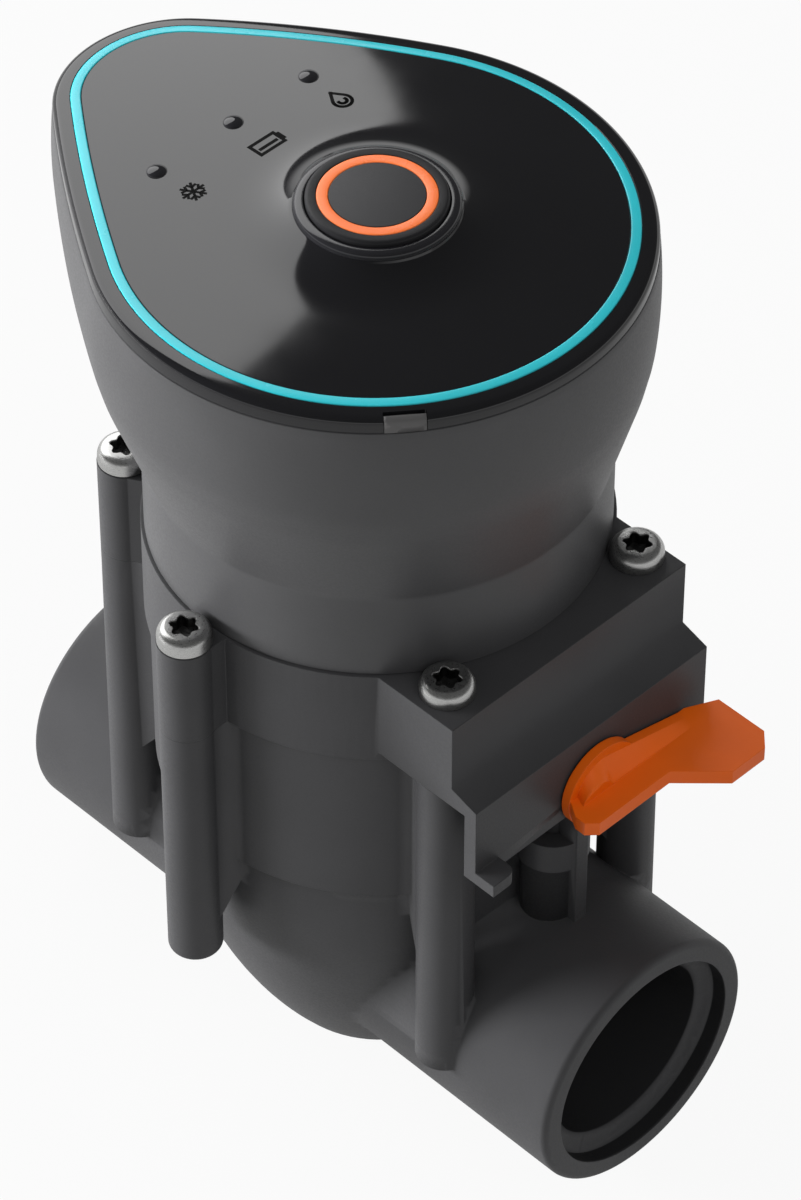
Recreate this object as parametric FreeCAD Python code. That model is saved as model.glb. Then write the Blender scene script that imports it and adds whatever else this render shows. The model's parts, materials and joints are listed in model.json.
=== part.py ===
"""Battery water valve: pipe body, clamped cover, pilot solenoid, manual bleed lever and control head.

Millimetres. X runs along the pipe towards the outlet and Z is up. The origin is the centre of the foot, on
the body's axis.
"""
import FreeCAD, Part
import math
import os

from FreeCAD import Vector

# Shared small values: how far one form runs into the next before they are joined, and the usual fit
SINK = 1.0
FIT_GAP = 0.05

# Pipe ports: inch pipe thread, female
PORT_R = 21.5
PORT_HALF = 57.0
PORT_EDGE_R = 1.1
LIP_R = 18.0
LIP_DEPTH = 2.6
LEAD_IN = 1.2
THREAD_R = 15.15
THREAD_LENGTH = 14.8
SOCKET_X = PORT_HALF - LIP_DEPTH - LEAD_IN - THREAD_LENGTH
FOOT_PROUD = 0.2
PIPE_Z = PORT_R + FOOT_PROUD

# Waterway
WAY_R = 11.5
RISER_R = 12.0
RISER_WALL = 3.5
RISER_BACK = 8.0
FEED_R = 6.5
FEED_X = -22.0
INSERT_DEPTH = 6.0
INSERT_SPIGOT_R = 14.0

# Body bowl and barrel
FOOT_R = 17.3
BOWL_MID_R = 28.6
BOWL_TOP_R = 33.0
BODY_R = 34.2
BODY_STEP_H = 30.5
BODY_STEP_Z = PIPE_Z + BODY_STEP_H
SEAM_H = 60.5
SEAM_Z = PIPE_Z + SEAM_H
CHAMBER_R = 28.0
CHAMBER_DEPTH = 26.0
CHAMBER_FLOOR_Z = SEAM_Z - CHAMBER_DEPTH
SEAT_DEPTH = 8.0
SEAT_Z = SEAM_Z - SEAT_DEPTH

# Cover
COVER_R = 35.0
COVER_HEIGHT = 17.0
COVER_TOP_Z = SEAM_Z + COVER_HEIGHT
COVER_CHAMBER_R = 26.5
COVER_ROOF = 7.0
ROOF_Z = COVER_TOP_Z - COVER_ROOF

# Six screws that clamp the cover
SCREW_COUNT = 6
FIRST_SCREW_ANGLE = 30.0
BOLT_R = 39.0
BOSS_R = 4.2
BOSS_END_R = 4.5
BOSS_EDGE_R = 0.9
BOSS_FREE_END_H = 12.7
BOSS_FREE_END_Z = PIPE_Z + BOSS_FREE_END_H
WEB_HALF = 3.9
WEB_INNER_R = 28.0
WEB_FOOT_H = 18.0
WEB_FOOT_Z = PIPE_Z + WEB_FOOT_H
SCREW_R = 2.5
SCREW_GRIP = 14.0
SCREW_CLEARANCE = 0.1
SCREW_END_ROOM = 1.0
SCREW_HEAD_R = 4.1
SCREW_HEAD_H = 2.9
SCREW_SIDE_H = 1.2
SCREW_FLAT_R = 2.9
SCREW_DRIVE_R = 1.9
SCREW_DRIVE_DEPTH = 1.8
SCREW_SHOULDER = 0.8

# Front block of the cover with its hanging wall and stop foot
BLOCK_LEFT_Y = -24.6
BLOCK_RIGHT_Y = 23.4
BLOCK_X = 39.9
BLOCK_LIFT = 1.5
BLOCK_BOTTOM_Z = SEAM_Z + BLOCK_LIFT
BLOCK_FACE_H = 11.9
BLOCK_FACE_Z = COVER_TOP_Z - BLOCK_FACE_H
WALL_X = 44.8
WALL_T = 2.3
WALL_SLOPE_H = 1.6
WALL_TOP_Z = BLOCK_FACE_Z - WALL_SLOPE_H
WALL_BOTTOM_H = 49.4
WALL_BOTTOM_Z = PIPE_Z + WALL_BOTTOM_H
STOP_REACH = 3.7
STOP_WIDTH = 4.7
STOP_T = 2.2
STOP_CORNER_R = 1.6

# Manual bleed: lever, spindle, cock housing, post and rib
LEVER_H = 53.5
LEVER_Z = PIPE_Z + LEVER_H
COCK_R = 6.0
COCK_GAP = 0.4
SPINDLE_R = 3.0
SPINDLE_GAP = 0.05
COCK_BACK_T = 1.0
SPINDLE_END_GAP = 0.4
SPINDLE_BACK_X = BODY_R + COCK_GAP + COCK_BACK_T + SPINDLE_END_GAP
SPINDLE_TIP_R = 2.5
HUB_R = 7.15
HUB_T = 1.5
HUB_GAP = 0.3
HUB_BOSS_R = 5.6
HUB_BOSS_T = 1.9
FIN_T = 2.5
FIN_HEEL_Y = -6.0
FIN_TOE_Y = -8.5
FIN_TOE_X = 49.2
FIN_TOE_END_X = 51.0
FIN_SIDE_Y = -6.9
FIN_NECK_X = 52.5
FIN_KINK_Y = 7.8
FIN_WIDE_X = 59.0
FIN_WIDE_Y = 14.3
FIN_END_Y = 23.6
FIN_CHAMFER = 2.4
FIN_TAIL_Y = 18.6
TAIL_Y = 17.3
TAIL_LIFT = 0.25
HEEL_Y = -6.4
HUB_BORE_DEPTH = 0.8
PLUG_R = 2.6
POST_X = BODY_R + PLUG_R
POST_R = 4.8
COLLAR_R = 5.6
COLLAR_BOTTOM_H = 32.7
COLLAR_BOTTOM_Z = PIPE_Z + COLLAR_BOTTOM_H
COLLAR_TOP_H = 38.3
COLLAR_TOP_Z = PIPE_Z + COLLAR_TOP_H
POST_BORE_R = 1.0
PLUG_GAP = 0.1
PLUG_LENGTH = 9.0
PLUG_GROOVE_DROP = 5.0
PLUG_GROOVE_Z = COLLAR_TOP_Z - PLUG_GROOVE_DROP
PLUG_GROOVE_DEPTH = 0.85
PLUG_GROOVE_WIDTH = 1.0
RIB_REACH = 6.1
RIB_X = POST_X + RIB_REACH
RIB_T = 2.4
RIB_TOP_H = 44.3
RIB_TOP_Z = PIPE_Z + RIB_TOP_H
BLEED_WAY_SHIFT = 2.0
BLEED_WAY_X = POST_X + BLEED_WAY_SHIFT

# Diaphragm and poppet
RIM_T = 2.5
RIM_GAP = 0.1
REBATE_R = 31.9
DIAPHRAGM_T = 1.6
DIAPHRAGM_FLAT_R = 17.0
FOLD_R = 26.6
FOLD_T = 2.2
WASHER_R = 14.0
WASHER_T = 2.0
PLATE_R = 16.0
PLATE_T = 2.0
GUIDE_GAP = 0.2
GUIDE_R = RISER_R - GUIDE_GAP
GUIDE_DISC_R = 10.5
GUIDE_DISC_T = 2.0
GUIDE_LENGTH = 14.0
GUIDE_HUB_R = 5.0
GUIDE_VANES = 4
VANE_T = 1.6
POPPET_BOLT_R = 3.0
POPPET_BOLT_LENGTH = 13.0
POPPET_HEAD_AF = 8.0
POPPET_HEAD_H = 3.0
SCREEN_R = 1.6
SCREEN_X = 13.5
SPRING_R = 10.0
SPRING_WIRE = 1.6

# Pilot solenoid on top of the cover
CORE_THREAD_R = 8.0
CORE_THREAD_LENGTH = 3.9
CORE_POCKET = 4.0
PILOT_H = 2.0
PILOT_R = 1.6
PILOT_BORE_R = 0.6
CORE_BASE_AF = 17.0
CORE_BASE_T = 2.5
CORE_TUBE_R = 5.2
CORE_BORE_R = 4.6
CORE_TUBE_H = 24.7
CORE_TUBE_TOP_Z = COVER_TOP_Z + CORE_TUBE_H
PLUNGER_FOOT = 0.4
PLUNGER_TOP_H = 13.5
PLUNGER_TOP_Z = COVER_TOP_Z + PLUNGER_TOP_H
PLUNGER_TRAVEL = 1.9
PLUNGER_SPRING_DEPTH = 6.0
SEAL_R = 2.35
SEAL_T = 1.4
YOKE_T = 1.5
YOKE_HALF_Y = 13.8
YOKE_HALF_X = 7.0
YOKE_TOP_H = 22.0
YOKE_TOP_Z = COVER_TOP_Z + YOKE_TOP_H
BOBBIN_R = 12.0
BOBBIN_CORE_R = 6.4
BOBBIN_FLANGE = 1.2
WINDING_R = 11.0
COIL_NUT_AF = 14.0
COIL_NUT_T = 2.4
PLUNGER_SPRING_GAP = 0.1
PLUNGER_SPRING_WIRE = 0.7

# O rings: a groove's width and depth as shares of the ring's radius, and a ring's share of its groove
O_RING_R = 0.7
ROOM_WIDE = 2.5
ROOM_DEEP = 2.1
RING_FILL = 0.48
SPINDLE_GROOVE_IN = 3.4
SPINDLE_GROOVE_X = SPINDLE_BACK_X + SPINDLE_GROOVE_IN
GROOVE_DEPTH = 1.5 * O_RING_R
GROOVE_WIDTH = 2.0 * O_RING_R

# Control head: the plan is one wide arc, two long flank arcs and a tip arc, all offset together
MAIN_R = 37.1
MAIN_X = -1.1
TIP_R = 14.8
TIP_X = -40.8
FLANK_R = 264.7
NECK_R = 34.5
NECK_HEIGHT = 15.0
CREASE_Z = COVER_TOP_Z + NECK_HEIGHT
BELLY_RISE = 17.5
BELLY_Z = CREASE_Z + BELLY_RISE
BELLY_OFF = 3.2
BULGE_RISE = 12.0
BULGE_Z = BELLY_Z + BULGE_RISE
BULGE_OFF = 3.9
RIM_RISE = 7.4
RIM_Z = BULGE_Z + RIM_RISE
RIM_OFF = 3.5
HEAD_WALL = 2.4
FLOOR_T = 3.0
FLOOR_HOLE_R = 24.0
SPIGOT_GAP = 0.2
SPIGOT_WALL = 2.3
SPIGOT_H = 3.0
NECK_SEAL_R = 0.9
LEDGE_R = 31.0
LEDGE_DEPTH = 26.9
LEDGE_Z = RIM_Z - LEDGE_DEPTH
HEAD_SCREW_COUNT = 3
FIRST_HEAD_SCREW_ANGLE = 60.0
HEAD_SCREW_RING = 28.2
HEAD_SCREW_R = 1.4
HEAD_SCREW_GRIP = 5.5
HEAD_SCREW_HEAD_R = 2.4
HEAD_SCREW_HEAD_H = 1.8
GASKET_IN = 1.8
GASKET_OUT = 2.7
GASKET_DEPTH = 0.8

# Battery tray and battery
TRAY_R = 33.0
TRAY_T = 2.0
CRADLE_WALL = 1.6
CRADLE_H = 8.0
FINGER_HALF = 7.0
FINGER_Z = 2.0
CONTACT_ROOM = 2.0
BATTERY_X = -6.0
BATTERY_LENGTH = 45.5
BATTERY_STUD = 3.0
BATTERY_WIDTH = 26.5
BATTERY_HEIGHT = 17.5
BATTERY_GAP = 0.2
CONTACT_T = 0.4
CONTACT_WIDTH = 7.0
CONTACT_H = 13.0
CONTACT_FOOT = 1.8
BATTERY_EDGE_R = 1.5
STUD_R = 3.0
STUD_PITCH = 12.7
PIN_R = 0.9
PIN_INSET = 4.0
PIN_PITCH = 5.0
PIN_COUNT = 4
PIN_SLEEVE_R = 1.8
PIN_SLEEVE_H = 8.0
PIN_GAP = 0.1

# Lid
LID_OFF = 3.4
CROWN_R = 500.0
CROWN_X = -8.0
CROWN_H = 4.6
CROWN_Z = RIM_Z + CROWN_H
LID_EDGE_R = 1.1
LID_ROOF = 0.5
TONGUE_GAP = 0.25
TONGUE_T = 1.6
TONGUE_H = 2.5
RING_HALF = 0.75
RING_DEPTH = 0.8
SWELL_R = 22.5
SWELL_MID_R = 16.8
SWELL_TOP_R = 12.6
SWELL_LOW = 3.5
SWELL_MID = 4.9
SWELL_TOP = 7.4
SLOT_H = 0.7
SLOT_DEPTH = 2.0
SLOT_X = -44.0
SLOT_Y = 4.0
LATCH_ANGLE = -38.0
LATCH_WIDTH = 5.8
LATCH_T = 0.9
LATCH_TRAVEL = 0.6
LATCH_GAP = 0.1
LATCH_GUIDE_WIDTH = 3.4
LATCH_GUIDE_T = 0.9
LATCH_GUIDE_REACH = 0.8
LATCH_GUIDE_LIFT = 0.6
LATCH_GUIDE_Z = RIM_Z + LATCH_GUIDE_LIFT

# Push button
BUTTON_R = 10.2
BUTTON_GAP = 0.15
BUTTON_TOP_H = 8.6
BUTTON_TOP_Z = RIM_Z + BUTTON_TOP_H
BUTTON_TRAVEL = 0.8
BUTTON_END_GAP = 0.1
BUTTON_FLANGE_R = 11.6
BUTTON_FLANGE_T = 1.2
BUTTON_FLANGE_LIFT = 1.2
BUTTON_FLANGE_Z = RIM_Z + BUTTON_FLANGE_LIFT
BUTTON_HOLLOW_R = 8.9
BUTTON_STEM_R = 2.0
BUTTON_ROOF = 2.3
BUTTON_RING_IN = 6.9
BUTTON_RING_OUT = 8.6
BUTTON_RING_DEPTH = 0.7
BUTTON_EDGE_R = 0.5
BEZEL_R = 11.9
BEZEL_H = 2.5
BEZEL_TOP_H = 7.8
BEZEL_TOP_Z = RIM_Z + BEZEL_TOP_H
BUTTON_SPRING_R = 9.7
BUTTON_SPRING_WIRE = 1.0

# Circuit board and lights
BOARD_OFF = -5.0
BOARD_T = 1.6
BOARD_DROP = 5.5
BOARD_Z = RIM_Z - BOARD_DROP
BOARD_END_X = MAIN_X + MAIN_R + BOARD_OFF
PIN_X = BOARD_END_X - PIN_INSET
BOARD_POST_INSET = 3.0
BOARD_POST_ANGLES = (43.5, 126.7)
BOARD_POST_R = 2.6
BOARD_SCREW_R = 0.9
BOARD_SCREW_HEAD_R = 2.0
BOARD_SCREW_HEAD_H = 1.5
BOARD_SCREW_GRIP = 3.5
LIGHT_X = -29.3
LIGHT_PITCH = 14.9
LIGHT_R = 1.5
LIGHT_FLANGE_R = 2.3
LIGHT_FLANGE_T = 1.3
LIGHT_DOME = 0.55
LIGHT_GAP = 0.2
LED_SIZE = (3.0, 2.8, 1.5)
SWITCH_SIZE = 6.0
SWITCH_H = 3.4
SWITCH_PIN_R = 1.7
SWITCH_PIN_H = 0.3


# Small helpers for solids

def cylinder(r, z0, z1, x=0.0, y=0.0):
    return Part.makeCylinder(r, z1 - z0, Vector(x, y, z0))


def cylinder_x(r, x0, x1, z, y=0.0):
    return Part.makeCylinder(r, x1 - x0, Vector(x0, y, z), Vector(1, 0, 0))


def tube(r_out, r_in, z0, z1, x=0.0, y=0.0):
    return cylinder(r_out, z0, z1, x, y).cut(cylinder(r_in, z0, z1, x, y))


def box(x0, x1, y0, y1, z0, z1):
    return Part.makeBox(x1 - x0, y1 - y0, z1 - z0, Vector(x0, y0, z0))


def fuse(shapes):
    return shapes[0].multiFuse(shapes[1:]).removeSplitter()


def spin(edges):
    """Turn a closed profile in the XZ plane about the Z axis."""
    face = Part.Face(Part.Wire(edges))
    return face.revolve(Vector(0, 0, 0), Vector(0, 0, 1), 360)


def lines(points):
    """Straight edges through (r, z) points, in the XZ plane."""
    corners = [Vector(r, 0, z) for r, z in points]
    return [Part.makeLine(a, b) for a, b in zip(corners, corners[1:])]


def closed(points):
    return lines(points + points[:1])


def arc_through(a, b, c):
    ends = [Vector(r, 0, z) for r, z in (a, b, c)]
    return Part.Arc(*ends).toShape()


def prism_xz(points, y0, y1):
    """A closed profile in the XZ plane, extruded along Y."""
    face = Part.Face(Part.Wire(closed(points)))
    face.translate(Vector(0, y0, 0))
    return face.extrude(Vector(0, y1 - y0, 0))


def prism_xy(points, z0, z1):
    corners = [Vector(x, y, z0) for x, y in points]
    corners.append(corners[0])
    return Part.Face(Part.makePolygon(corners)).extrude(Vector(0, 0, z1 - z0))


def hexagon(across_flats, z0, z1):
    r = across_flats / math.sqrt(3.0)
    points = [(r * math.cos(math.radians(60 * i)), r * math.sin(math.radians(60 * i))) for i in range(6)]
    return prism_xy(points, z0, z1)


def turned(shape, degrees):
    copy = shape.copy()
    copy.rotate(Vector(0, 0, 0), Vector(0, 0, 1), degrees)
    return copy


def moved(shape, x, y, z):
    copy = shape.copy()
    copy.translate(Vector(x, y, z))
    return copy


def o_ring(ring_r, r, z, x=0.0):
    return Part.makeTorus(ring_r, r, Vector(x, 0, z))


def screw_angles():
    return [FIRST_SCREW_ANGLE + 360.0 / SCREW_COUNT * i for i in range(SCREW_COUNT)]


def screw_spots():
    return [(BOLT_R * math.cos(math.radians(a)), BOLT_R * math.sin(math.radians(a))) for a in screw_angles()]


# Plan outline of the control head

def flank_centre():
    span = MAIN_X - TIP_X
    to_main = FLANK_R - MAIN_R
    to_tip = FLANK_R - TIP_R
    along = (to_main ** 2 - to_tip ** 2 + span ** 2) / (2 * span)
    return MAIN_X - along, -math.sqrt(to_main ** 2 - along ** 2)


def tangent_angles():
    fx, fy = flank_centre()
    return math.atan2(-fy, MAIN_X - fx), math.atan2(-fy, TIP_X - fx)


def arc_edge(cx, cy, r, a0, a1, z):
    def at(a):
        return Vector(cx + r * math.cos(a), cy + r * math.sin(a), z)
    return Part.Arc(at(a0), at((a0 + a1) / 2), at(a1)).toShape()


def plan_wire(off, z):
    """The egg outline, moved out by off, at height z."""
    fx, fy = flank_centre()
    a, b = tangent_angles()
    full = 2 * math.pi
    return Part.Wire([
        arc_edge(MAIN_X, 0, MAIN_R + off, -a, 0, z),
        arc_edge(MAIN_X, 0, MAIN_R + off, 0, a, z),
        arc_edge(fx, fy, FLANK_R + off, a, b, z),
        arc_edge(TIP_X, 0, TIP_R + off, b, math.pi, z),
        arc_edge(TIP_X, 0, TIP_R + off, math.pi, full - b, z),
        arc_edge(fx, -fy, FLANK_R + off, -b, -a, z),
    ])


def round_wire(r, z):
    """A circle cut where the egg outline changes arcs, so that both loft together."""
    a, b = tangent_angles()
    main = math.atan2(MAIN_R * math.sin(a), MAIN_X + MAIN_R * math.cos(a))
    tip = math.atan2(TIP_R * math.sin(b), TIP_X + TIP_R * math.cos(b))
    full = 2 * math.pi
    stops = [-main, 0, main, tip, math.pi, full - tip, full - main]
    return Part.Wire([arc_edge(0, 0, r, p, q, z) for p, q in zip(stops, stops[1:])])


def plan_prism(off, z0, z1):
    return Part.Face(plan_wire(off, z0)).extrude(Vector(0, 0, z1 - z0))


def plan_ring(off_out, off_in, z0, z1):
    return plan_prism(off_out, z0, z1).cut(plan_prism(off_in, z0, z1))


def head_form(inset):
    """The control head's swelling form above the crease, moved in by inset."""
    crease = round_wire(NECK_R - inset, CREASE_Z)
    belly = plan_wire(BELLY_OFF - inset, BELLY_Z)
    bulge = plan_wire(BULGE_OFF - inset, BULGE_Z)
    rim = plan_wire(RIM_OFF - inset, RIM_Z)
    lower = Part.makeLoft([crease, belly], True, True)
    upper = Part.makeLoft([belly, bulge, rim], True, False)
    return lower, upper


def crown(drop):
    """A very large ball whose top is the lid's gentle crown."""
    return Part.makeSphere(CROWN_R, Vector(CROWN_X, 0, CROWN_Z - CROWN_R - drop))


# Body

def boss_web(z_low_inner, z_low_outer, z_top):
    """The web between a screw rod and the barrel, for the screw at angle 0."""
    profile = [(WEB_INNER_R, z_low_inner), (BOLT_R, z_low_outer), (BOLT_R, z_top), (WEB_INNER_R, z_top)]
    return prism_xz(profile, -WEB_HALF, WEB_HALF)


def screw_rod(free_end):
    """The rod of the screw at angle 0, either ending free with a soft edge or standing on the pipe."""
    if not free_end:
        return Part.makeCone(BOSS_END_R, BOSS_R, SEAM_Z - PIPE_Z, Vector(BOLT_R, 0, PIPE_Z))
    rod = cylinder(BOSS_R, BOSS_FREE_END_Z, SEAM_Z, BOLT_R)
    return rod.makeFillet(BOSS_EDGE_R, [edge for edge in rod.Edges if edge.BoundBox.ZMax < SEAM_Z - SINK])


def bowl_form():
    bowl = lines([(0, 0), (FOOT_R, 0)])
    bowl.append(arc_through((FOOT_R, 0), (BOWL_MID_R, PIPE_Z), (BOWL_TOP_R, BODY_STEP_Z)))
    bowl += lines([(BOWL_TOP_R, BODY_STEP_Z), (BODY_R, BODY_STEP_Z), (BODY_R, SEAM_Z), (0, SEAM_Z), (0, 0)])
    return spin(bowl)


def make_valve_body():
    """The bowl and barrel with a stub on either side, onto which the pipe sockets are welded."""
    solids = [bowl_form(), cylinder_x(PORT_R, -SOCKET_X, SOCKET_X, PIPE_Z)]
    for angle in screw_angles():
        free_end = round(angle) % 180 == 90
        pieces = [screw_rod(free_end), boss_web(BODY_STEP_Z, WEB_FOOT_Z, SEAM_Z)]
        solids += [turned(piece, angle) for piece in pieces]
    spigot_z = CHAMBER_FLOOR_Z - INSERT_DEPTH
    cuts = [cylinder(REBATE_R, SEAM_Z - RIM_T, SEAM_Z),
            cylinder(CHAMBER_R, CHAMBER_FLOOR_Z, SEAM_Z),
            cylinder(INSERT_SPIGOT_R + FIT_GAP, spigot_z, CHAMBER_FLOOR_Z),
            cylinder(RISER_R, PIPE_Z, spigot_z),
            cylinder(FEED_R, PIPE_Z, CHAMBER_FLOOR_Z, FEED_X),
            cylinder_x(WAY_R, -RISER_BACK, SOCKET_X, PIPE_Z),
            cylinder_x(WAY_R, -SOCKET_X, FEED_X + FEED_R / 2, PIPE_Z),
            cylinder(PLUG_R + PLUG_GAP, COLLAR_TOP_Z - PLUG_LENGTH, RIB_TOP_Z, POST_X),
            cylinder(POST_BORE_R, PIPE_Z, BODY_STEP_Z, POST_X)]
    for x, y in screw_spots():
        cuts.append(cylinder(SCREW_R + FIT_GAP, SEAM_Z - SCREW_GRIP - SCREW_END_ROOM, SEAM_Z, x, y))
    body = fuse(solids).cut(fuse(cuts))
    for start, end in ((SOCKET_X, PORT_HALF), (-PORT_HALF, -SOCKET_X)):
        body = body.cut(cylinder_x(PORT_R, start, end, PIPE_Z))
    return body


def make_outlet_socket():
    """The socket around the outlet's thread: a lip, a lead-in cone and the thread's smooth core."""
    mouth = PORT_HALF - LIP_DEPTH
    wall = cylinder_x(PORT_R, SOCKET_X, PORT_HALF, PIPE_Z)
    wall = wall.makeFillet(PORT_EDGE_R, [edge for edge in wall.Edges if edge.BoundBox.XMin > mouth])
    cone = Part.makeCone(THREAD_R, LIP_R, LEAD_IN, Vector(mouth - LEAD_IN, 0, PIPE_Z), Vector(1, 0, 0))
    room = [cylinder_x(LIP_R, mouth, PORT_HALF, PIPE_Z), cone,
            cylinder_x(THREAD_R, SOCKET_X, mouth - LEAD_IN, PIPE_Z)]
    return wall.cut(fuse(room))


def make_inlet_socket():
    return turned(make_outlet_socket(), 180)


def make_seat_insert():
    """The riser with the seat on its top edge, whose spigot sits in the chamber's floor."""
    return fuse([tube(RISER_R + RISER_WALL, RISER_R, CHAMBER_FLOOR_Z, SEAT_Z),
                 tube(INSERT_SPIGOT_R, RISER_R, CHAMBER_FLOOR_Z - INSERT_DEPTH, CHAMBER_FLOOR_Z)])


def make_bleed_post():
    """The post that takes the cover's bleed plug, with its collar and rib, on top of the outlet pipe."""
    post = fuse([cylinder(POST_R, PIPE_Z, COLLAR_BOTTOM_Z, POST_X),
                 cylinder(COLLAR_R, COLLAR_BOTTOM_Z, COLLAR_TOP_Z, POST_X),
                 box(POST_X, RIB_X, -RIB_T / 2, RIB_T / 2, PIPE_Z, RIB_TOP_Z)])
    return post.cut(fuse([bowl_form(), cylinder_x(PORT_R, 0, PORT_HALF, PIPE_Z),
                          cylinder(PLUG_R + PLUG_GAP, COLLAR_TOP_Z - PLUG_LENGTH, RIB_TOP_Z, POST_X),
                          cylinder(POST_BORE_R, PIPE_Z, COLLAR_TOP_Z, POST_X)]))


# Cover

def make_bonnet():
    wall_back = WALL_X - WALL_T
    block = [(NECK_R / 2, BLOCK_BOTTOM_Z), (wall_back, BLOCK_BOTTOM_Z), (wall_back, WALL_BOTTOM_Z),
             (WALL_X, WALL_BOTTOM_Z), (WALL_X, WALL_TOP_Z), (BLOCK_X, BLOCK_FACE_Z), (BLOCK_X, COVER_TOP_Z),
             (NECK_R / 2, COVER_TOP_Z)]
    stop = box(wall_back, WALL_X + STOP_REACH, BLOCK_LEFT_Y, BLOCK_LEFT_Y + STOP_WIDTH,
               WALL_BOTTOM_Z, WALL_BOTTOM_Z + STOP_T)
    stop_corner = [edge for edge in stop.Edges
                   if edge.BoundBox.XMin > WALL_X and edge.BoundBox.ZLength > STOP_T / 2
                   and edge.BoundBox.YMin > BLOCK_LEFT_Y + STOP_WIDTH / 2]
    stop = stop.makeFillet(STOP_CORNER_R, stop_corner)
    cock_x = BODY_R + COCK_GAP
    solids = [cylinder(COVER_R, SEAM_Z, COVER_TOP_Z),
              prism_xz(block, BLOCK_LEFT_Y, BLOCK_RIGHT_Y),
              stop,
              cylinder_x(COCK_R, cock_x, WALL_X - WALL_T / 2, LEVER_Z),
              box(cock_x, WALL_X - WALL_T / 2, -COCK_R, COCK_R, LEVER_Z, BLOCK_BOTTOM_Z + SINK),
              cylinder(PLUG_R, COLLAR_TOP_Z - PLUG_LENGTH + SINK, LEVER_Z, POST_X),
              tube(FLOOR_HOLE_R - SPIGOT_GAP, FLOOR_HOLE_R - SPIGOT_GAP - SPIGOT_WALL, COVER_TOP_Z - SINK,
                   COVER_TOP_Z + SPIGOT_H)]
    for angle in screw_angles():
        pieces = [cylinder(BOSS_R, SEAM_Z, COVER_TOP_Z, BOLT_R), boss_web(SEAM_Z, SEAM_Z, COVER_TOP_Z)]
        solids += [turned(piece, angle) for piece in pieces]
    cover = fuse(solids)

    pocket_z = COVER_TOP_Z - CORE_POCKET
    drill_z = (ROOF_Z + pocket_z) / 2
    bore_back = SPINDLE_BACK_X - SPINDLE_END_GAP
    pocket = cylinder(CORE_THREAD_R + FIT_GAP, pocket_z, COVER_TOP_Z)
    pocket = pocket.cut(cylinder(PILOT_R, pocket_z, pocket_z + PILOT_H))
    cuts = [cylinder(COVER_CHAMBER_R, SEAM_Z, ROOF_Z),
            pocket,
            cylinder(PILOT_BORE_R, drill_z, pocket_z + PILOT_H),
            cylinder(PILOT_BORE_R, ROOF_Z, pocket_z, (PILOT_R + CORE_THREAD_R) / 2),
            cylinder_x(PILOT_BORE_R, 0, BLEED_WAY_X, drill_z),
            cylinder(PILOT_BORE_R, LEVER_Z, drill_z, BLEED_WAY_X),
            cylinder_x(SPINDLE_R + SPINDLE_GAP, bore_back, WALL_X, LEVER_Z),
            cylinder(POST_BORE_R, COLLAR_TOP_Z - PLUG_LENGTH, LEVER_Z, POST_X),
            tube(CORE_THREAD_R + ROOM_WIDE * O_RING_R, CORE_THREAD_R, COVER_TOP_Z - ROOM_DEEP * O_RING_R,
                 COVER_TOP_Z),
            tube(PLUG_R, PLUG_R - PLUG_GROOVE_DEPTH, PLUG_GROOVE_Z, PLUG_GROOVE_Z + PLUG_GROOVE_WIDTH,
                 POST_X)]
    for x, y in screw_spots():
        cuts.append(cylinder(SCREW_R + SCREW_CLEARANCE, SEAM_Z, COVER_TOP_Z, x, y))
    for x, y in head_screw_spots():
        cuts.append(cylinder(HEAD_SCREW_R + FIT_GAP, COVER_TOP_Z - HEAD_SCREW_GRIP, COVER_TOP_Z, x, y))
    return cover.cut(fuse(cuts))


def make_cover_screws():
    head_top = COVER_TOP_Z + SCREW_HEAD_H
    side, top = (SCREW_HEAD_R, COVER_TOP_Z + SCREW_SIDE_H), (SCREW_FLAT_R, head_top)
    shoulder = (SCREW_FLAT_R + SCREW_SHOULDER * (SCREW_HEAD_R - SCREW_FLAT_R),
                COVER_TOP_Z + (SCREW_SIDE_H + 2 * SCREW_HEAD_H) / 3)
    edges = lines([(0, COVER_TOP_Z), (SCREW_HEAD_R, COVER_TOP_Z), side])
    edges.append(arc_through(side, shoulder, top))
    edges += lines([top, (0, head_top), (0, COVER_TOP_Z)])
    drive = hexagon(2 * SCREW_DRIVE_R, head_top - SCREW_DRIVE_DEPTH, head_top)
    shank = cylinder(SCREW_R, SEAM_Z - SCREW_GRIP, COVER_TOP_Z)
    screw = fuse([spin(edges), shank]).cut(drive)
    return Part.makeCompound([moved(screw, x, y, 0) for x, y in screw_spots()])


# Diaphragm and poppet

def diaphragm_levels():
    low = SEAT_Z + WASHER_T
    return low, low + DIAPHRAGM_T


def make_diaphragm():
    low, high = diaphragm_levels()
    rim_low = SEAM_Z - RIM_T
    rim_r = REBATE_R - RIM_GAP
    points = [(POPPET_BOLT_R, low), (DIAPHRAGM_FLAT_R, low), (FOLD_R, rim_low), (rim_r, rim_low),
              (rim_r, SEAM_Z),
              (COVER_CHAMBER_R, SEAM_Z), (FOLD_R - SINK, rim_low + FOLD_T), (DIAPHRAGM_FLAT_R - SINK, high),
              (POPPET_BOLT_R, high)]
    return spin(closed(points))


def make_seat_washer():
    return tube(WASHER_R, POPPET_BOLT_R, SEAT_Z, SEAT_Z + WASHER_T)


def make_diaphragm_plate():
    high = diaphragm_levels()[1]
    return tube(PLATE_R, POPPET_BOLT_R, high, high + PLATE_T).cut(
        cylinder(SCREEN_R + FIT_GAP, high, high + PLATE_T, SCREEN_X))


def make_metering_screen():
    high = diaphragm_levels()[1]
    return cylinder(SCREEN_R, high, high + PLATE_T, SCREEN_X)


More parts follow.
